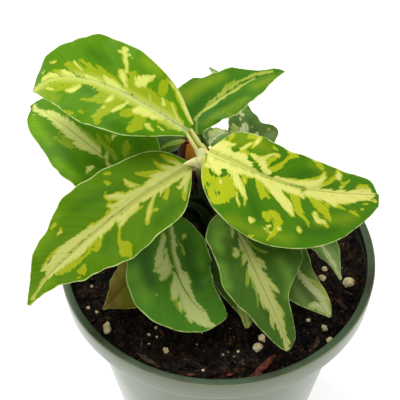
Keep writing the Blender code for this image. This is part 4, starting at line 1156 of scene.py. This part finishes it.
# %% Build a blade
CELL = 0.45
BLADE_THICKNESS = 0.42
EDGE_THICKNESS = 0.2
EDGE_SHARE = 0.2
VEIN_SPACING = 3.2
QUILTING = 0.07
RIB_GROOVE = 0.3
GROOVE_WIDTH = 0.5
RIB_HEIGHT = 0.95
ARCH = 0.9
FRILL = 0.35
CROWDING = 1.15
RIB_SEGMENTS = 40
TONES = ("cream", "lime", "gap", "paler_and_painted_light", "deep")


def shares(steps):
    """Even places from 0 to 1."""
    return [i / steps for i in range(steps + 1)]


def blade_points(leaf, s, v):
    """Points, half widths and upward directions of a blade, at s along it and v from -1 to 1 across."""
    points = np.zeros((len(s), 3))
    ups = np.zeros((len(s), 3))
    half = np.zeros(len(s))
    fold = math.radians(leaf.fold)
    for value in np.unique(s):
        row = np.flatnonzero(s == value)
        centre, _, left, up = blade_frame(leaf, value)
        drift = rib_drift(leaf, value)
        swell = math.sin(math.pi * value)
        left_half, right_half = (
            max(0.3, half_width(leaf, value, side) - side * drift)
            + 0.5 * leaf.wave * noise.noise(Vector((value * 11, side * 5, leaf.lean))) * swell
            for side in (1, -1)
        )
        wide = np.where(v[row] > 0, left_half, right_half)
        out = np.abs(v[row]) * wide
        phase = math.tau * leaf.waves * value + np.where(v[row] > 0, 1.0, 2.6)
        ripple = leaf.wave * np.sin(phase) * v[row] ** 2 * swell
        ripple = ripple + FRILL * np.sin(phase * 2.7 + 2.0) * np.abs(v[row]) ** 4 * swell
        arch = ARCH * swell * (np.abs(v[row]) - v[row] ** 2)
        lift = out * math.sin(fold) + ripple + arch
        flat = np.copysign(out * math.cos(fold), v[row]) + drift
        points[row] = np.array(centre) + np.outer(flat, left) + np.outer(lift, up)
        ups[row] = up
        half[row] = wide
    return points, half, ups


def build_blade(leaf):
    """A finished blade with its veins, its wall and the depths of its markings."""
    line = [bezier((leaf.base, leaf.bend, leaf.tip), share) for share in shares(RIB_SEGMENTS)]
    length = sum((b - a).length for a, b in zip(line, line[1:]))
    cells_across = round((max(leaf.left) + max(leaf.right)) / CELL / 2)
    blade = start_grid(max(40, round(length / CELL)), 2 * cells_across)
    grid = np.array([vertex.co[:2] for vertex in blade.data.vertices])
    s = np.round((grid[:, 0] + 1) / 2, 6)
    v = np.copysign(np.abs(grid[:, 1]) ** CROWDING, grid[:, 1])
    points, half, ups = blade_points(leaf, s, v)
    across = v * half
    root = s * length - np.abs(across) * (0.2 + 1.5 * s)
    veins = np.cos(math.tau * root / VEIN_SPACING + np.where(v > 0, 0.0, 1.9))
    fade = np.clip(np.abs(across) / 2.0, 0, 1) * np.clip((1 - np.abs(v)) * 3, 0, 1)
    quilt = -QUILTING * np.clip(veins, -0.2, 1) ** 2 * fade
    groove = RIB_GROOVE * (1 - s) ** 0.5 * np.exp(-(across / GROOVE_WIDTH) ** 2)
    points += ups * (quilt - groove)[:, None]
    set_points(blade.data, points)
    apply_modifier(blade, "SOLIDIFY", thickness=BLADE_THICKNESS * MM, offset=0.0)

    count = len(s)
    walls = np.array([vertex.co[:] for vertex in blade.data.vertices]) / MM
    upper, under = walls[:count], walls[count:2 * count]
    upper_is_first = np.mean(np.sum((upper - points) * ups, axis=1)) > 0
    if not upper_is_first:
        upper, under = under, upper
    at_edge = np.clip((np.abs(v) - 1 + EDGE_SHARE) / EDGE_SHARE, 0, 1)[:, None]
    thin = at_edge * (1 - EDGE_THICKNESS / BLADE_THICKNESS)
    middle = (upper + under) / 2
    upper[:] = upper + (middle - upper) * thin
    under[:] = under + (middle - under) * thin
    ridge = RIB_HEIGHT * (1 - s) ** 0.7 * np.exp(-(across / (0.35 + 0.65 * (1 - s))) ** 2)
    under -= ups * ridge[:, None]
    set_points(blade.data, walls)

    drift = np.array([rib_drift(leaf, value) for value in s])
    depth, tear = {}, {}
    for tone in TONES:
        strokes = MARKS[leaf.name].get(tone, ())
        depth[tone], tear[tone] = stroke_depth(strokes, s * length, across + drift, length)
    for name, values in (
        ("vein_place", (root, np.abs(across), np.sign(v) * 7)),
        ("cream_mark", (depth["cream"], tear["cream"], depth["gap"])),
        ("lime_mark", (depth["lime"], tear["lime"], depth["paler_and_painted_light"])),
        ("green_mark", (depth["deep"], across, s)),
    ):
        write_attribute(blade.data, name, np.tile(np.stack(values, 1), (2, 1)))
    underside = np.repeat((0.0, 1.0) if upper_is_first else (1.0, 0.0), count)
    edge = half - np.abs(across)
    write_attribute(blade.data, "leaf_place", np.stack((underside, np.tile(s, 2), np.tile(edge, 2)), 1))
    return blade


# %% [markdown]
# An aglaonema leaf is smooth and a little waxy, so it is a satin dielectric with some light passing
# through it. The green is laid first, paler and darker in soft patches, some of which are painted
# light and painted shade, then the lime and the cream, each where its depth, torn by a noise that is
# stretched along the veins, is above zero. Green shows through the pale patches in streaks. The
# midrib is a narrow band between two darker lines, the margin a thin pale line, and the underside a
# paler, duller copy. Young leaves stand in the light and are yellower, and the older ones below them
# are a deeper, bluer green.

# %% Leaf finish
VEINS_PER_MM = math.tau / VEIN_SPACING
LEAF_LAYERS = ("vein_place", "cream_mark", "lime_mark", "green_mark", "leaf_place")
GRAINS = {
    # Grains for each millimetre across the veins and along them, and the detail: tongues tear the
    # markings 2 mm wide, teeth tear those by a millimetre, and the others vary the colours.
    "tongues": (0.5, 0.16, 2.0), "teeth": (1.25, 0.5, 4.0), "fine": (2.8, 0.14, 3.0),
    "cloud": (0.16, 0.12, 3.0), "streaks": (1.4, 0.1, 3.0), "wander": (0.35, 0.35, 2.0),
}
RIB_SHADOW = linear("#55701a")
MARGIN_COLOUR = linear("#d2e08c")
UNDERSIDE = linear("#8fa576")


def leaf_material(name, *colours, rib_wide=0.8, rib_line=0.3, margin=0.8, gloss=0.4, shine=0.16):
    """The skin of one kind of leaf: darker, green, paler, lime, cream and midrib colours; the darker and
    paler greens also carry painted shade and painted light.
    """
    deep, green, paler_and_painted_light, lime, cream, rib = (linear(colour) for colour in colours)
    made, shader, add = start_material(
        name, gloss, IOR=1.36, Subsurface_Weight=0.08, Subsurface_Scale=0.001,
        Specular_IOR_Level=shine, Subsurface_Radius=(0.5, 1.0, 0.2),
    )
    read = [add("Attribute", output="Vector", attribute_name=layer) for layer in LEAF_LAYERS]
    vein, pale, mid, dark, place = (add("SeparateXYZ", [vector]).node.outputs for vector in read)
    grain = {}
    for key, (over, along, detail) in GRAINS.items():
        stretched = add("Mapping", {"Vector": read[0], "Scale": (over, along, 1.0)})
        grain[key] = add("TexNoise", (stretched, 1.0, detail, 0.6))

    # Paler strokes and darker strokes: partly the leaf's own tone, partly painted light and painted shade.
    skin = add("Mix", (add("MapRange", (mid[2], -2.2, 2.2), **SMOOTH), green, paler_and_painted_light), **COLOURS)
    for share in (
        add("MapRange", (dark[0], -2.4, 2.2, 0.0, 0.75), **SMOOTH),
        add("MapRange", (grain["cloud"], 0.55, 0.75, 0.0, 0.25), **SMOOTH),
    ):
        skin = add("Mix", (share, skin, deep), **COLOURS)
    wave = add("Math", (vein[0], VEINS_PER_MM), operation="MULTIPLY")
    for shade in (
        add("MapRange", (grain["fine"], 0.3, 0.7, 0.94, 1.06)),
        add("MapRange", (grain["cloud"], 0.3, 0.7, 1.03, 0.97)),
        add("MapRange", (add("Math", [wave], operation="COSINE"), -1.0, 1.0, 0.98, 1.02), **SMOOTH),
    ):
        skin = add("VectorMath", (skin, shade), operation="SCALE")

    # The markings are torn by the tongues and teeth, and whole is where no gap takes them away.
    tearing = add("Math", (grain["teeth"], 3.8, -4.3), operation="MULTIPLY_ADD")
    tearing = add("Math", (grain["tongues"], 4.8, tearing), operation="MULTIPLY_ADD")
    whole = add("MapRange", (pale[2], -0.12, 0.12, 1.0, 0.0), **SMOOTH)
    cream_deep = add("Math", (tearing, pale[1], pale[0]), operation="MULTIPLY_ADD")
    fringe = add("MapRange", (grain["cloud"], 0.4, 0.65, 0.1, 0.6), **SMOOTH)
    fringe = add("Math", (cream_deep, fringe), operation="ADD")
    lime_deep = add("Math", (tearing, mid[1], mid[0]), operation="MULTIPLY_ADD")
    lime_deep = add("Math", (lime_deep, fringe), operation="MAXIMUM")
    lime_cover = add("MapRange", (lime_deep, -0.2, 0.25), **SMOOTH)
    cream_cover = add("MapRange", (cream_deep, -0.16, 0.16), **SMOOTH)
    for factor in (whole, add("MapRange", (grain["streaks"], 0.45, 0.7, 1.0, 0.86), **SMOOTH)):
        lime_cover = add("Math", (lime_cover, factor), operation="MULTIPLY")
    for factor in (
        whole,
        add("MapRange", (cream_deep, 0.0, 0.9, 0.62, 1.0), **SMOOTH),
        add("MapRange", (grain["fine"], 0.45, 0.7, 1.0, 0.8), **SMOOTH),
    ):
        cream_cover = add("Math", (cream_cover, factor), operation="MULTIPLY")
    near_rib = add("MapRange", (vein[1], 0.4, 3.0, 0.55, 0.0), **SMOOTH)
    lime_colour = add("Mix", (near_rib, lime, cream), **COLOURS)

    # The midrib narrows towards the tip, and the margin's width wanders.
    wide = add("MapRange", (place[1], 0.0, 0.8, rib_wide, 0.1))
    beside = add("Math", (vein[1], wide), operation="SUBTRACT")
    line = add("Math", [beside], operation="ABSOLUTE")
    thin = add("MapRange", (grain["wander"], 0.35, 0.62, 0.16, 0.42), **SMOOTH)
    thin = add("Math", (thin, place[2]), operation="SUBTRACT")
    for share, colour in (
        (lime_cover, lime_colour),
        (cream_cover, cream),
        (add("MapRange", (beside, 0.1, -0.14, 0.0, 0.6), **SMOOTH), rib),
        (add("MapRange", (line, 0.02, 0.15, rib_line, 0.0), **SMOOTH), RIB_SHADOW),
        (add("MapRange", (thin, -0.04, 0.2, 0.0, margin), **SMOOTH), MARGIN_COLOUR),
        (add("Math", (place[0], 0.5), operation="MULTIPLY"), UNDERSIDE),
    ):
        skin = add("Mix", (share, skin, colour), **COLOURS)

    rough = add("MapRange", (place[0], 0.0, 1.0, gloss - 0.06, 0.6), **SMOOTH)
    fill(made, shader, {
        "Base Color": skin,
        "Roughness": add("Math", (grain["cloud"], 0.14, rough), operation="MULTIPLY_ADD"),
        "Normal": add("Bump", {"Height": grain["fine"], "Strength": 0.22, "Distance": 0.00025}),
    })
    return made


RISING = leaf_material("rising_leaf_skin", "#2c6410", "#4a8018", "#7c9c1c", "#94ac20", "#c8d468", "#b4c45c",
                       rib_wide=0.6, rib_line=0.2)
BRIGHT = leaf_material("bright_leaf_skin", "#3e7404", "#5c9008", "#84a716", "#9fb414", "#e4ea74", "#d2da88",
                       rib_wide=1.0, rib_line=0.12)
YELLOW = leaf_material("yellow_leaf_skin", "#356a08", "#4e840c", "#7a9c12", "#b8c51a", "#f0f184", "#dfe478",
                       rib_wide=1.0, rib_line=0.42)
GROWN = leaf_material("grown_leaf_skin", "#3c6a05", "#547e08", "#688f10", "#9da814", "#c5c86e", "#b4b664",
                      rib_wide=0.85, shine=0.05)
LOWER = leaf_material("lower_leaf_skin", "#3f7208", "#588c08", "#76a610", "#88a61c", "#d8e07e", "#a4b24c",
                      rib_wide=0.35)
FRONT = leaf_material("front_leaf_skin", "#2e5612", "#477a1a", "#5e9026", "#86a424", "#bcc67c", "#7d9c36",
                      rib_wide=0.55, rib_line=0.6, margin=0.6)
SHADED = leaf_material("shaded_leaf_skin", "#2f4f12", "#40641a", "#648c2c", "#80982c", "#b0b668", "#848c44",
                       rib_wide=0.35, rib_line=0.4, margin=0.45)
DIM = leaf_material("dim_leaf_skin", "#33501c", "#4c6c24", "#6c8440", "#97a548", "#b4bb84", "#7d8a4a",
                    rib_wide=0.3, margin=0.45, gloss=0.5)
# Three leaves at the back get a paler, greyer green: a painted sheen.
PAINTED_SHEEN_SKIN = leaf_material("painted_sheen_leaf_skin", "#3e5e26", "#5f8038", "#8ca45e", "#b0be60", "#d6deac", "#96a464",
                     rib_wide=0.3, margin=0.45, gloss=0.5)
AGEING = leaf_material("ageing_leaf_skin", "#6e4a1c", "#767218", "#988a3c", "#5f7a25", "#9a8a3c", "#77702a",
                       rib_wide=0.4, margin=0.4, gloss=0.5)
LEAF_SKIN = {
    "leaf_back_left": BRIGHT, "leaf_back_right": RISING, "leaf_right": YELLOW, "leaf_front_left": GROWN,
    "leaf_low_left": LOWER, "leaf_front": FRONT, "leaf_front_right": SHADED, "leaf_inner_left": SHADED,
    "leaf_low_front": SHADED, "leaf_old": AGEING, "leaf_low_back": PAINTED_SHEEN_SKIN, "leaf_inner_back": PAINTED_SHEEN_SKIN,
    "leaf_small_right": PAINTED_SHEEN_SKIN,
}
for leaf in LEAVES:
    blade = build_blade(leaf)
    skin = LEAF_SKIN.get(leaf.name, DIM)
    finish_piece(blade, leaf.name + "_blade", skin, [leaf.name], angle=60)
    print(leaf.name, "faces:", len(blade.data.polygons))


# %% [markdown]
# A leaf's stalk begins as a sheath: a thin gutter that clasps the stem. Higher up the gutter closes
# into a fleshy stalk with a channel along its upper side, and that runs on under the blade as the
# midrib. So each cross section is a crescent: wide and thin at the foot, small and nearly closed at
# the blade. A grid is wrapped round those crescents, joined along its seam and closed at its ends.

# %% Sweep a crescent
Station = namedtuple("Station", "centre along open radius thickness reach")
LOOP = 26
SEAM = 0.02
STEP_AHEAD = 0.02
HORN_THINNING = 0.45


def sweep(stations):
    """A closed piece through crescents: reach is half the arc in degrees, open its channel side."""
    last = len(stations) - 1
    piece = start_grid(last, LOOP)
    points = []
    around = []
    for vertex in piece.data.vertices:
        row = round((vertex.co.x + 1) / 2 * last)
        turn = (vertex.co.y + 1) / 2 % 1.0
        here = stations[row]
        along = Vector(here.along).normalized()
        open_side = Vector(here.open)
        open_side = (open_side - along * open_side.dot(along)).normalized()
        outside = turn < 0.5
        to_horn = 1 - 4 * (turn if outside else 1 - turn)
        angle = math.radians(here.reach) * to_horn
        wall = here.thickness * (1 - HORN_THINNING * to_horn ** 2)
        radius = here.radius if outside else here.radius - wall
        beside = along.cross(open_side) * math.sin(angle) - open_side * math.cos(angle)
        points.append(Vector(here.centre) + radius * beside)
        around.append((0, 1, row / last) if outside else (1, abs(to_horn), row / last))
    set_points(piece.data, points)
    write_attribute(piece.data, "around", around)
    close_shell(piece, SEAM)
    return piece


def follow(guide, share, look=STEP_AHEAD):
    """The point of a guide curve at a share of its length, and the direction that it runs in there."""
    return bezier(guide, share), bezier(guide, min(share + look, 1)) - bezier(guide, max(share - look, 0))


def stem_axis(stem, z):
    """The centre of a stem at a height, and its radius there."""
    share = (z - SOIL_LEVEL) / (stem.top[2] - SOIL_LEVEL)
    foot = Vector((*stem.foot, SOIL_LEVEL))
    return foot.lerp(Vector(stem.top), share), stem.foot_radius + (stem.top_radius - stem.foot_radius) * share


# %% Stalks
STALK_FOOT = 1.8
STALK_HEAD = 1.4
STALK_RISE = 0.45
STALK_LEAD = 3.5
STALK_GAP = 0.3
STALK_WALL = 1.05
STALK_REACH = 118
HEAD_REACH = 146
NEARLY_SOLID = 0.86
SHEATH_BELOW = 7.0
SHEATH_ROOM = 0.75
SHEATH_LAYER = 0.12
SHEATH_SWELL = 0.9
SHEATH_WALL = 0.55
SHEATH_REACH = 112
SHEATH_ROWS = 6
STALK_STEPS = 30
RIB_ROWS = 5
RIB_RUN = 0.11
STALK_BENDS = {"leaf_back_left": ((-3.5, 6.5, 128), (-6.5, 7, 135))}


def stalk_stations(leaf, order):
    """Crescents from the sheath on the stem up to the blade and a little way under it."""
    stem = next(s for s in STEMS if s.name == leaf.stem)
    head, forward, _, up = blade_frame(leaf, 0)
    top = Vector(stem.top)
    at_side = leaf.turn is not None
    if at_side:
        centre, stem_radius = stem_axis(stem, leaf.seat)
        turn = math.radians(leaf.turn)
        outward = Vector((math.cos(turn), math.sin(turn), 0))
        axis = (top - centre).normalized()
        seat = centre + outward * (stem_radius + STALK_GAP + STALK_FOOT)
        low, stem_radius = stem_axis(stem, max(leaf.seat - SHEATH_BELOW, SOIL_LEVEL - 1))
    else:
        outward = Vector((forward.x, forward.y, 0)).normalized()
        axis = (top - stem_axis(stem, SOIL_LEVEL)[0]).normalized()
        seat = top + Vector((0, 0, stem.top_radius * stem.cap + STALK_GAP))
        low, stem_radius = stem_axis(stem, top.z - SHEATH_BELOW)
    rise = seat + axis * (head - seat).length * STALK_RISE
    rise, lead = STALK_BENDS.get(leaf.name, (rise, head - forward * STALK_LEAD))
    guide = (seat, Vector(rise), Vector(lead), head - up * STALK_HEAD * 0.5)

    stations = []
    round_stem = stem_radius + SHEATH_ROOM + SHEATH_LAYER * order
    for share in shares(SHEATH_ROWS)[:-1]:
        ease = share * share
        if at_side:
            centre = low.lerp(seat - outward * STALK_FOOT * 0.6, ease)
            centre.z = low.z + (seat.z - low.z) * share
        else:
            centre = low.lerp(seat, share)
        radius = round_stem * (1 - ease) + (STALK_FOOT + SHEATH_SWELL) * ease
        wall = SHEATH_WALL + 0.5 * ease
        stations.append(Station(centre, axis, -outward, radius, wall, SHEATH_REACH + 6 * share))
    for share in shares(STALK_STEPS):
        centre, ahead = follow(guide, share)
        open_side = (-outward).lerp(up, share)
        closing = min(1, share / 0.55)
        if at_side:
            centre += open_side.normalized() * 0.6 * STALK_FOOT * (1 - closing)
        radius = STALK_FOOT + SHEATH_SWELL * (1 - closing) + (STALK_HEAD - STALK_FOOT) * share * closing
        wall = STALK_WALL + (radius * NEARLY_SOLID - STALK_WALL) * closing
        reach = STALK_REACH + (HEAD_REACH - STALK_REACH) * closing
        stations.append(Station(centre, ahead, open_side, radius, wall, reach))
    for share in shares(RIB_ROWS)[1:]:
        point, forward, _, up = blade_frame(leaf, RIB_RUN * share)
        radius = STALK_HEAD * (1 - 0.55 * share)
        centre = point - up * radius * 0.9
        stations.append(Station(centre, forward, up, radius, radius * NEARLY_SOLID, HEAD_REACH))
    return stations


# %% [markdown]
# The stalks are as variegated as the blades: ivory with green flushes that run lengthwise, pale at
# the crown and near black below, which is painted shade under the leaves, and papery brown where an
# old sheath has dried on the stem. They are satin like the leaves, with fine lengthwise fibres.
# Share is how much of the pale colour shows, and a dark colour takes over below a height: painted
# shade on the stalks, stems and sheaths, and a dry brown with painted shade on the ageing stalk.

# %% Stalk and stem finishes
def stalk_material(name, pale, green, share, dry_and_painted_shade, roughness=0.42, dim_above=104, channel=None, fade=9):
    """Ivory and green flushes along the stalk, a green channel, and a dark tint low down that is painted
    shade.
    """
    made, shader, add = start_material(
        name, roughness, IOR=1.45, Subsurface_Weight=0.12, Subsurface_Scale=0.0015, Specular_IOR_Level=0.2
    )
    place = add("TexCoord", output="Object")
    flush_place = add("Mapping", {"Vector": place, "Scale": (1.0, 1.0, 0.28)})
    flush = add("TexNoise", (flush_place, 420.0, 3.0, 0.55))
    mask = add("MapRange", (flush, share - 0.05, share + 0.05), **SMOOTH)
    tint = add("Mix", (mask, linear(pale), linear(green)), **COLOURS)
    if channel:
        around = add("Attribute", output="Vector", attribute_name="around")
        to_horn = add("SeparateXYZ", [around], output="Y")
        mask = add("MapRange", (to_horn, 0.52, 0.3), **SMOOTH)
        tint = add("Mix", (mask, tint, linear(channel)), **COLOURS)
    height = add("SeparateXYZ", [place], output="Z")
    # Below the given height the colour turns to the last colour: painted shade, and on the ageing stalk a dry
    # brown as well.
    low = add("MapRange", (height, dim_above * MM, (dim_above - fade) * MM, 0.0, 0.92), **SMOOTH)
    fibre_place = add("Mapping", {"Vector": place, "Scale": (1.0, 1.0, 0.06)})
    fibre = add("TexNoise", (fibre_place, 2600.0, 2.0))
    fill(made, shader, {
        "Base Color": add("Mix", (low, tint, linear(dry_and_painted_shade)), **COLOURS),
        "Normal": add("Bump", {"Height": fibre, "Strength": 0.3, "Distance": 0.0002}),
    })
    return made


OLIVE_STALK = stalk_material("olive_stalk", "#a8aa66", "#8a8f50", 0.5, "#141d0a", dim_above=131)
IVORY_STALK = stalk_material("ivory_stalk", "#fcf8a4", "#e4ea72", 0.58, "#1c2c0a", dim_above=131,
                             channel="#9cb22c")
# The green stalks' greens are darkened: partly their own colour, partly painted shade.
GREEN_STALK = stalk_material("green_stalk", "#8c9a4a", "#4a6c1c", 0.44, "#121e08", dim_above=122)
DRY_STALK = stalk_material("ageing_stalk", "#9a8c4a", "#6c6428", 0.5, "#5a4426", 0.6)
STALK_SKIN = {
    "leaf_back_left": IVORY_STALK, "leaf_right": IVORY_STALK, "leaf_front_left": OLIVE_STALK,
    "leaf_back_right": GREEN_STALK, "leaf_old": DRY_STALK,
}
SHEATH_LAYERS = 8
by_height = sorted(LEAVES, key=lambda leaf: -leaf.seat)
for order, leaf in enumerate(by_height):
    stalk = sweep(stalk_stations(leaf, order % SHEATH_LAYERS))
    skin = STALK_SKIN.get(leaf.name, GREEN_STALK)
    finish_piece(stalk, leaf.name + "_stalk", skin, angle=50)
print("stalks:", len(by_height))

# %% [markdown]
# The stems are ringed by the scars of fallen leaves. Each is a cylinder with many loops: the loops
# swell at the scars and pinch between them, and the top closes as a rolled sheath would.

# %% Stems
STEM_SIDES = 32
STEM_LOOPS = 90
STEM_DEPTH = 20.0
SCAR_SWELL = 0.08
SCAR_HEIGHT = 0.09
SCAR_TILT = 0.08


def tip_share(stem, z):
    """How much of its radius a stem keeps at a height: all up to its top, and less in its tip."""
    beyond = max(0, (z - stem.top[2]) / (stem.top_radius * stem.cap))
    return stem.end + (1 - stem.end) * math.sqrt(max(0, 1 - beyond ** 1.6))


def stem_piece(stem):
    """A ringed stem from inside the soil to its top."""
    piece = start_grid(STEM_LOOPS, STEM_SIDES)
    low = SOIL_LEVEL - STEM_DEPTH
    top = stem.top[2] + stem.top_radius * stem.cap
    points = []
    for vertex in piece.data.vertices:
        z = low + (top - low) * (vertex.co.x + 1) / 2
        turn = math.pi * vertex.co.y
        centre, radius = stem_axis(stem, max(min(z, stem.top[2]), SOIL_LEVEL))
        rings = (z - SOIL_LEVEL) / (stem.top[2] - SOIL_LEVEL) * stem.rings
        tilt = SCAR_TILT * math.sin(turn)
        scar = abs(rings - round(rings + tilt) - tilt)
        bark = 0.012 * noise.noise(Vector((turn * 2, z * 0.6, 0)))
        radius *= 1 - SCAR_SWELL + SCAR_SWELL * math.exp(-(scar / SCAR_HEIGHT) ** 2) + bark
        radius *= tip_share(stem, z)
        points.append((centre.x + radius * math.cos(turn), centre.y + radius * math.sin(turn), z))
    set_points(piece.data, points)
    close_shell(piece, SEAM)
    return piece


# The stems' dark olive and green are partly their own colour and partly painted shade.
STEM_SKIN = stalk_material("ringed_stem_with_painted_shade", "#4a5424", "#2e3c14", 0.5, "#12180a", 0.55, dim_above=124)
SHEATHED_STEM = stalk_material("old_stem", "#4a2c12", "#32200e", 0.5, "#1d150a", 0.7)
for stem in STEMS:
    skin = SHEATHED_STEM if stem.name == "stem_back" else STEM_SKIN
    finish_piece(stem_piece(stem), stem.name + "_cane", skin, [stem.name], angle=50)

# %% [markdown]
# Three sheaths are the crescent sweep again. An old one has dried on the rear stem into an orange
# brown paper that hugs its tip and stands open to the left, with a ragged edge. The next leaf is
# still rolled up in a pale one, widest at its foot and closing to a folded point. Where the two upper
# stalks part, the sheath of the upper one ends in a short ivory collar that stands a little open.

# %% Sheaths
PAPER_FOOT = 107.0
PAPER_TOP = 122.6
PAPER_STEPS = 26
PAPER_ROOM = 0.75
PAPER_LEAN = Vector((0.5, -0.2, 0))
ROLLED_GUIDE = ((-1.8, 3.4, 118), (-2.1, 4.8, 131), (-4.8, 4.9, 131.6), (-11.3, 1.1, 133.1))
ROLLED_STEPS = 26
COLLAR_GUIDE = ((-6.1, 8.0, 134.3), (-4.9, 7.0, 131.8), (-3.2, 5.0, 129.6))
COLLAR_STEPS = 12

rear_stem = STEMS[1]
paper = []
for share in shares(PAPER_STEPS):
    z = PAPER_FOOT + (PAPER_TOP - PAPER_FOOT) * share
    centre, radius = stem_axis(rear_stem, min(z, rear_stem.top[2]))
    centre = Vector((centre.x, centre.y, z)) + PAPER_LEAN * share
    radius = radius * tip_share(rear_stem, z) + PAPER_ROOM
    ragged = 12 * noise.noise(Vector((share * 9, 2.0, 5.0)))
    paper.append(Station(centre, (0.02, 0, 1), (-1, -0.4, 0), radius, 0.35, 118 + ragged))
# Below 117 mm the paper turns near black: painted shade.
PAPER_SKIN = stalk_material("papery_sheath", "#cc8422", "#9a641c", 0.54, "#140f08", 0.65, dim_above=117)
finish_piece(sweep(paper), "papery_sheath", PAPER_SKIN, angle=50)

rolled = []
for share in shares(ROLLED_STEPS):
    radius = min(1.5 + 1.7 * share, 2.6 * ((1 - share) / 0.48) ** 0.8) + 0.1
    wall = min(0.5, radius * 0.8)
    rolled.append(Station(*follow(ROLLED_GUIDE, share), (0.3, 0.9, -0.3), radius, wall, 140 + 20 * share))
# Below 130.5 mm the rolled sheath turns near black: painted shade.
ROLLED_SKIN = stalk_material("pale_sheath", "#eee4a2", "#c8c880", 0.6, "#141e0a", dim_above=130.5, fade=2.5)
finish_piece(sweep(rolled), "rolled_sheath", ROLLED_SKIN, ["growing_tip"], angle=50)

collar = []
for share in shares(COLLAR_STEPS):
    radius = 1.75 + 0.55 * math.sin(math.pi * (0.1 + 0.75 * share))
    opening = 132 + 8 * math.sin(9 * share)
    collar.append(Station(*follow(COLLAR_GUIDE, share, 0.05), (0.8, -0.1, 0.4), radius, 0.5, opening))
# Below 129 mm the collar turns dark green: painted shade.
COLLAR_SKIN = stalk_material("ivory_collar", "#fffcb8", "#f6f6a0", 0.6, "#4a5a20", dim_above=129)
finish_piece(sweep(collar), "ivory_collar", COLLAR_SKIN, angle=50)

# %% [markdown]
# The studio is plain: a pale floor that reaches past every view, soft light from all round as in a
# light tent, one broad lamp above and to the left that gives the leaves their soft sheen, and a
# weaker one at the right that fills the shadows.

# %% Floor and light
FLOOR_SIZE = 30
FLOOR_PAINT = (0.85, 0.85, 0.85, 1)
FLOOR_GLOW = 0.55
WHITE = (1, 1, 1, 1)
TENT_LIGHT = 0.52
LAMP_AIM = Vector((0, 0, 0.1))
LAMPS = (
    # name, place in metres, size, watts
    ("key", (-0.35, 0.25, 0.95), 0.6, 6.2),
    ("fill", (0.7, -0.2, 0.7), 0.9, 1.3),
)

deselect()
bpy.ops.mesh.primitive_plane_add(size=FLOOR_SIZE)
floor = bpy.context.object
floor.name = "floor"
floor_paint, *_ = start_material("white_studio_paper", 0.9, Base_Color=FLOOR_PAINT, Emission_Color=WHITE,
                                 Emission_Strength=FLOOR_GLOW)
floor.data.materials.append(floor_paint)

world = bpy.data.worlds.new("light_tent")
world.use_nodes = True
fill(world, world.node_tree.nodes["Background"], {"Color": WHITE, "Strength": TENT_LIGHT})
bpy.context.scene.world = world

for name, spot, size, watts in LAMPS:
    bpy.ops.object.light_add(type="AREA", location=spot)
    lamp = bpy.context.object
    lamp.name = name
    lamp.data.size = size
    lamp.data.energy = watts
    lamp.rotation_euler = (LAMP_AIM - lamp.location).to_track_quat("-Z", "Y").to_euler()
    print(name, "light:", watts, "W")
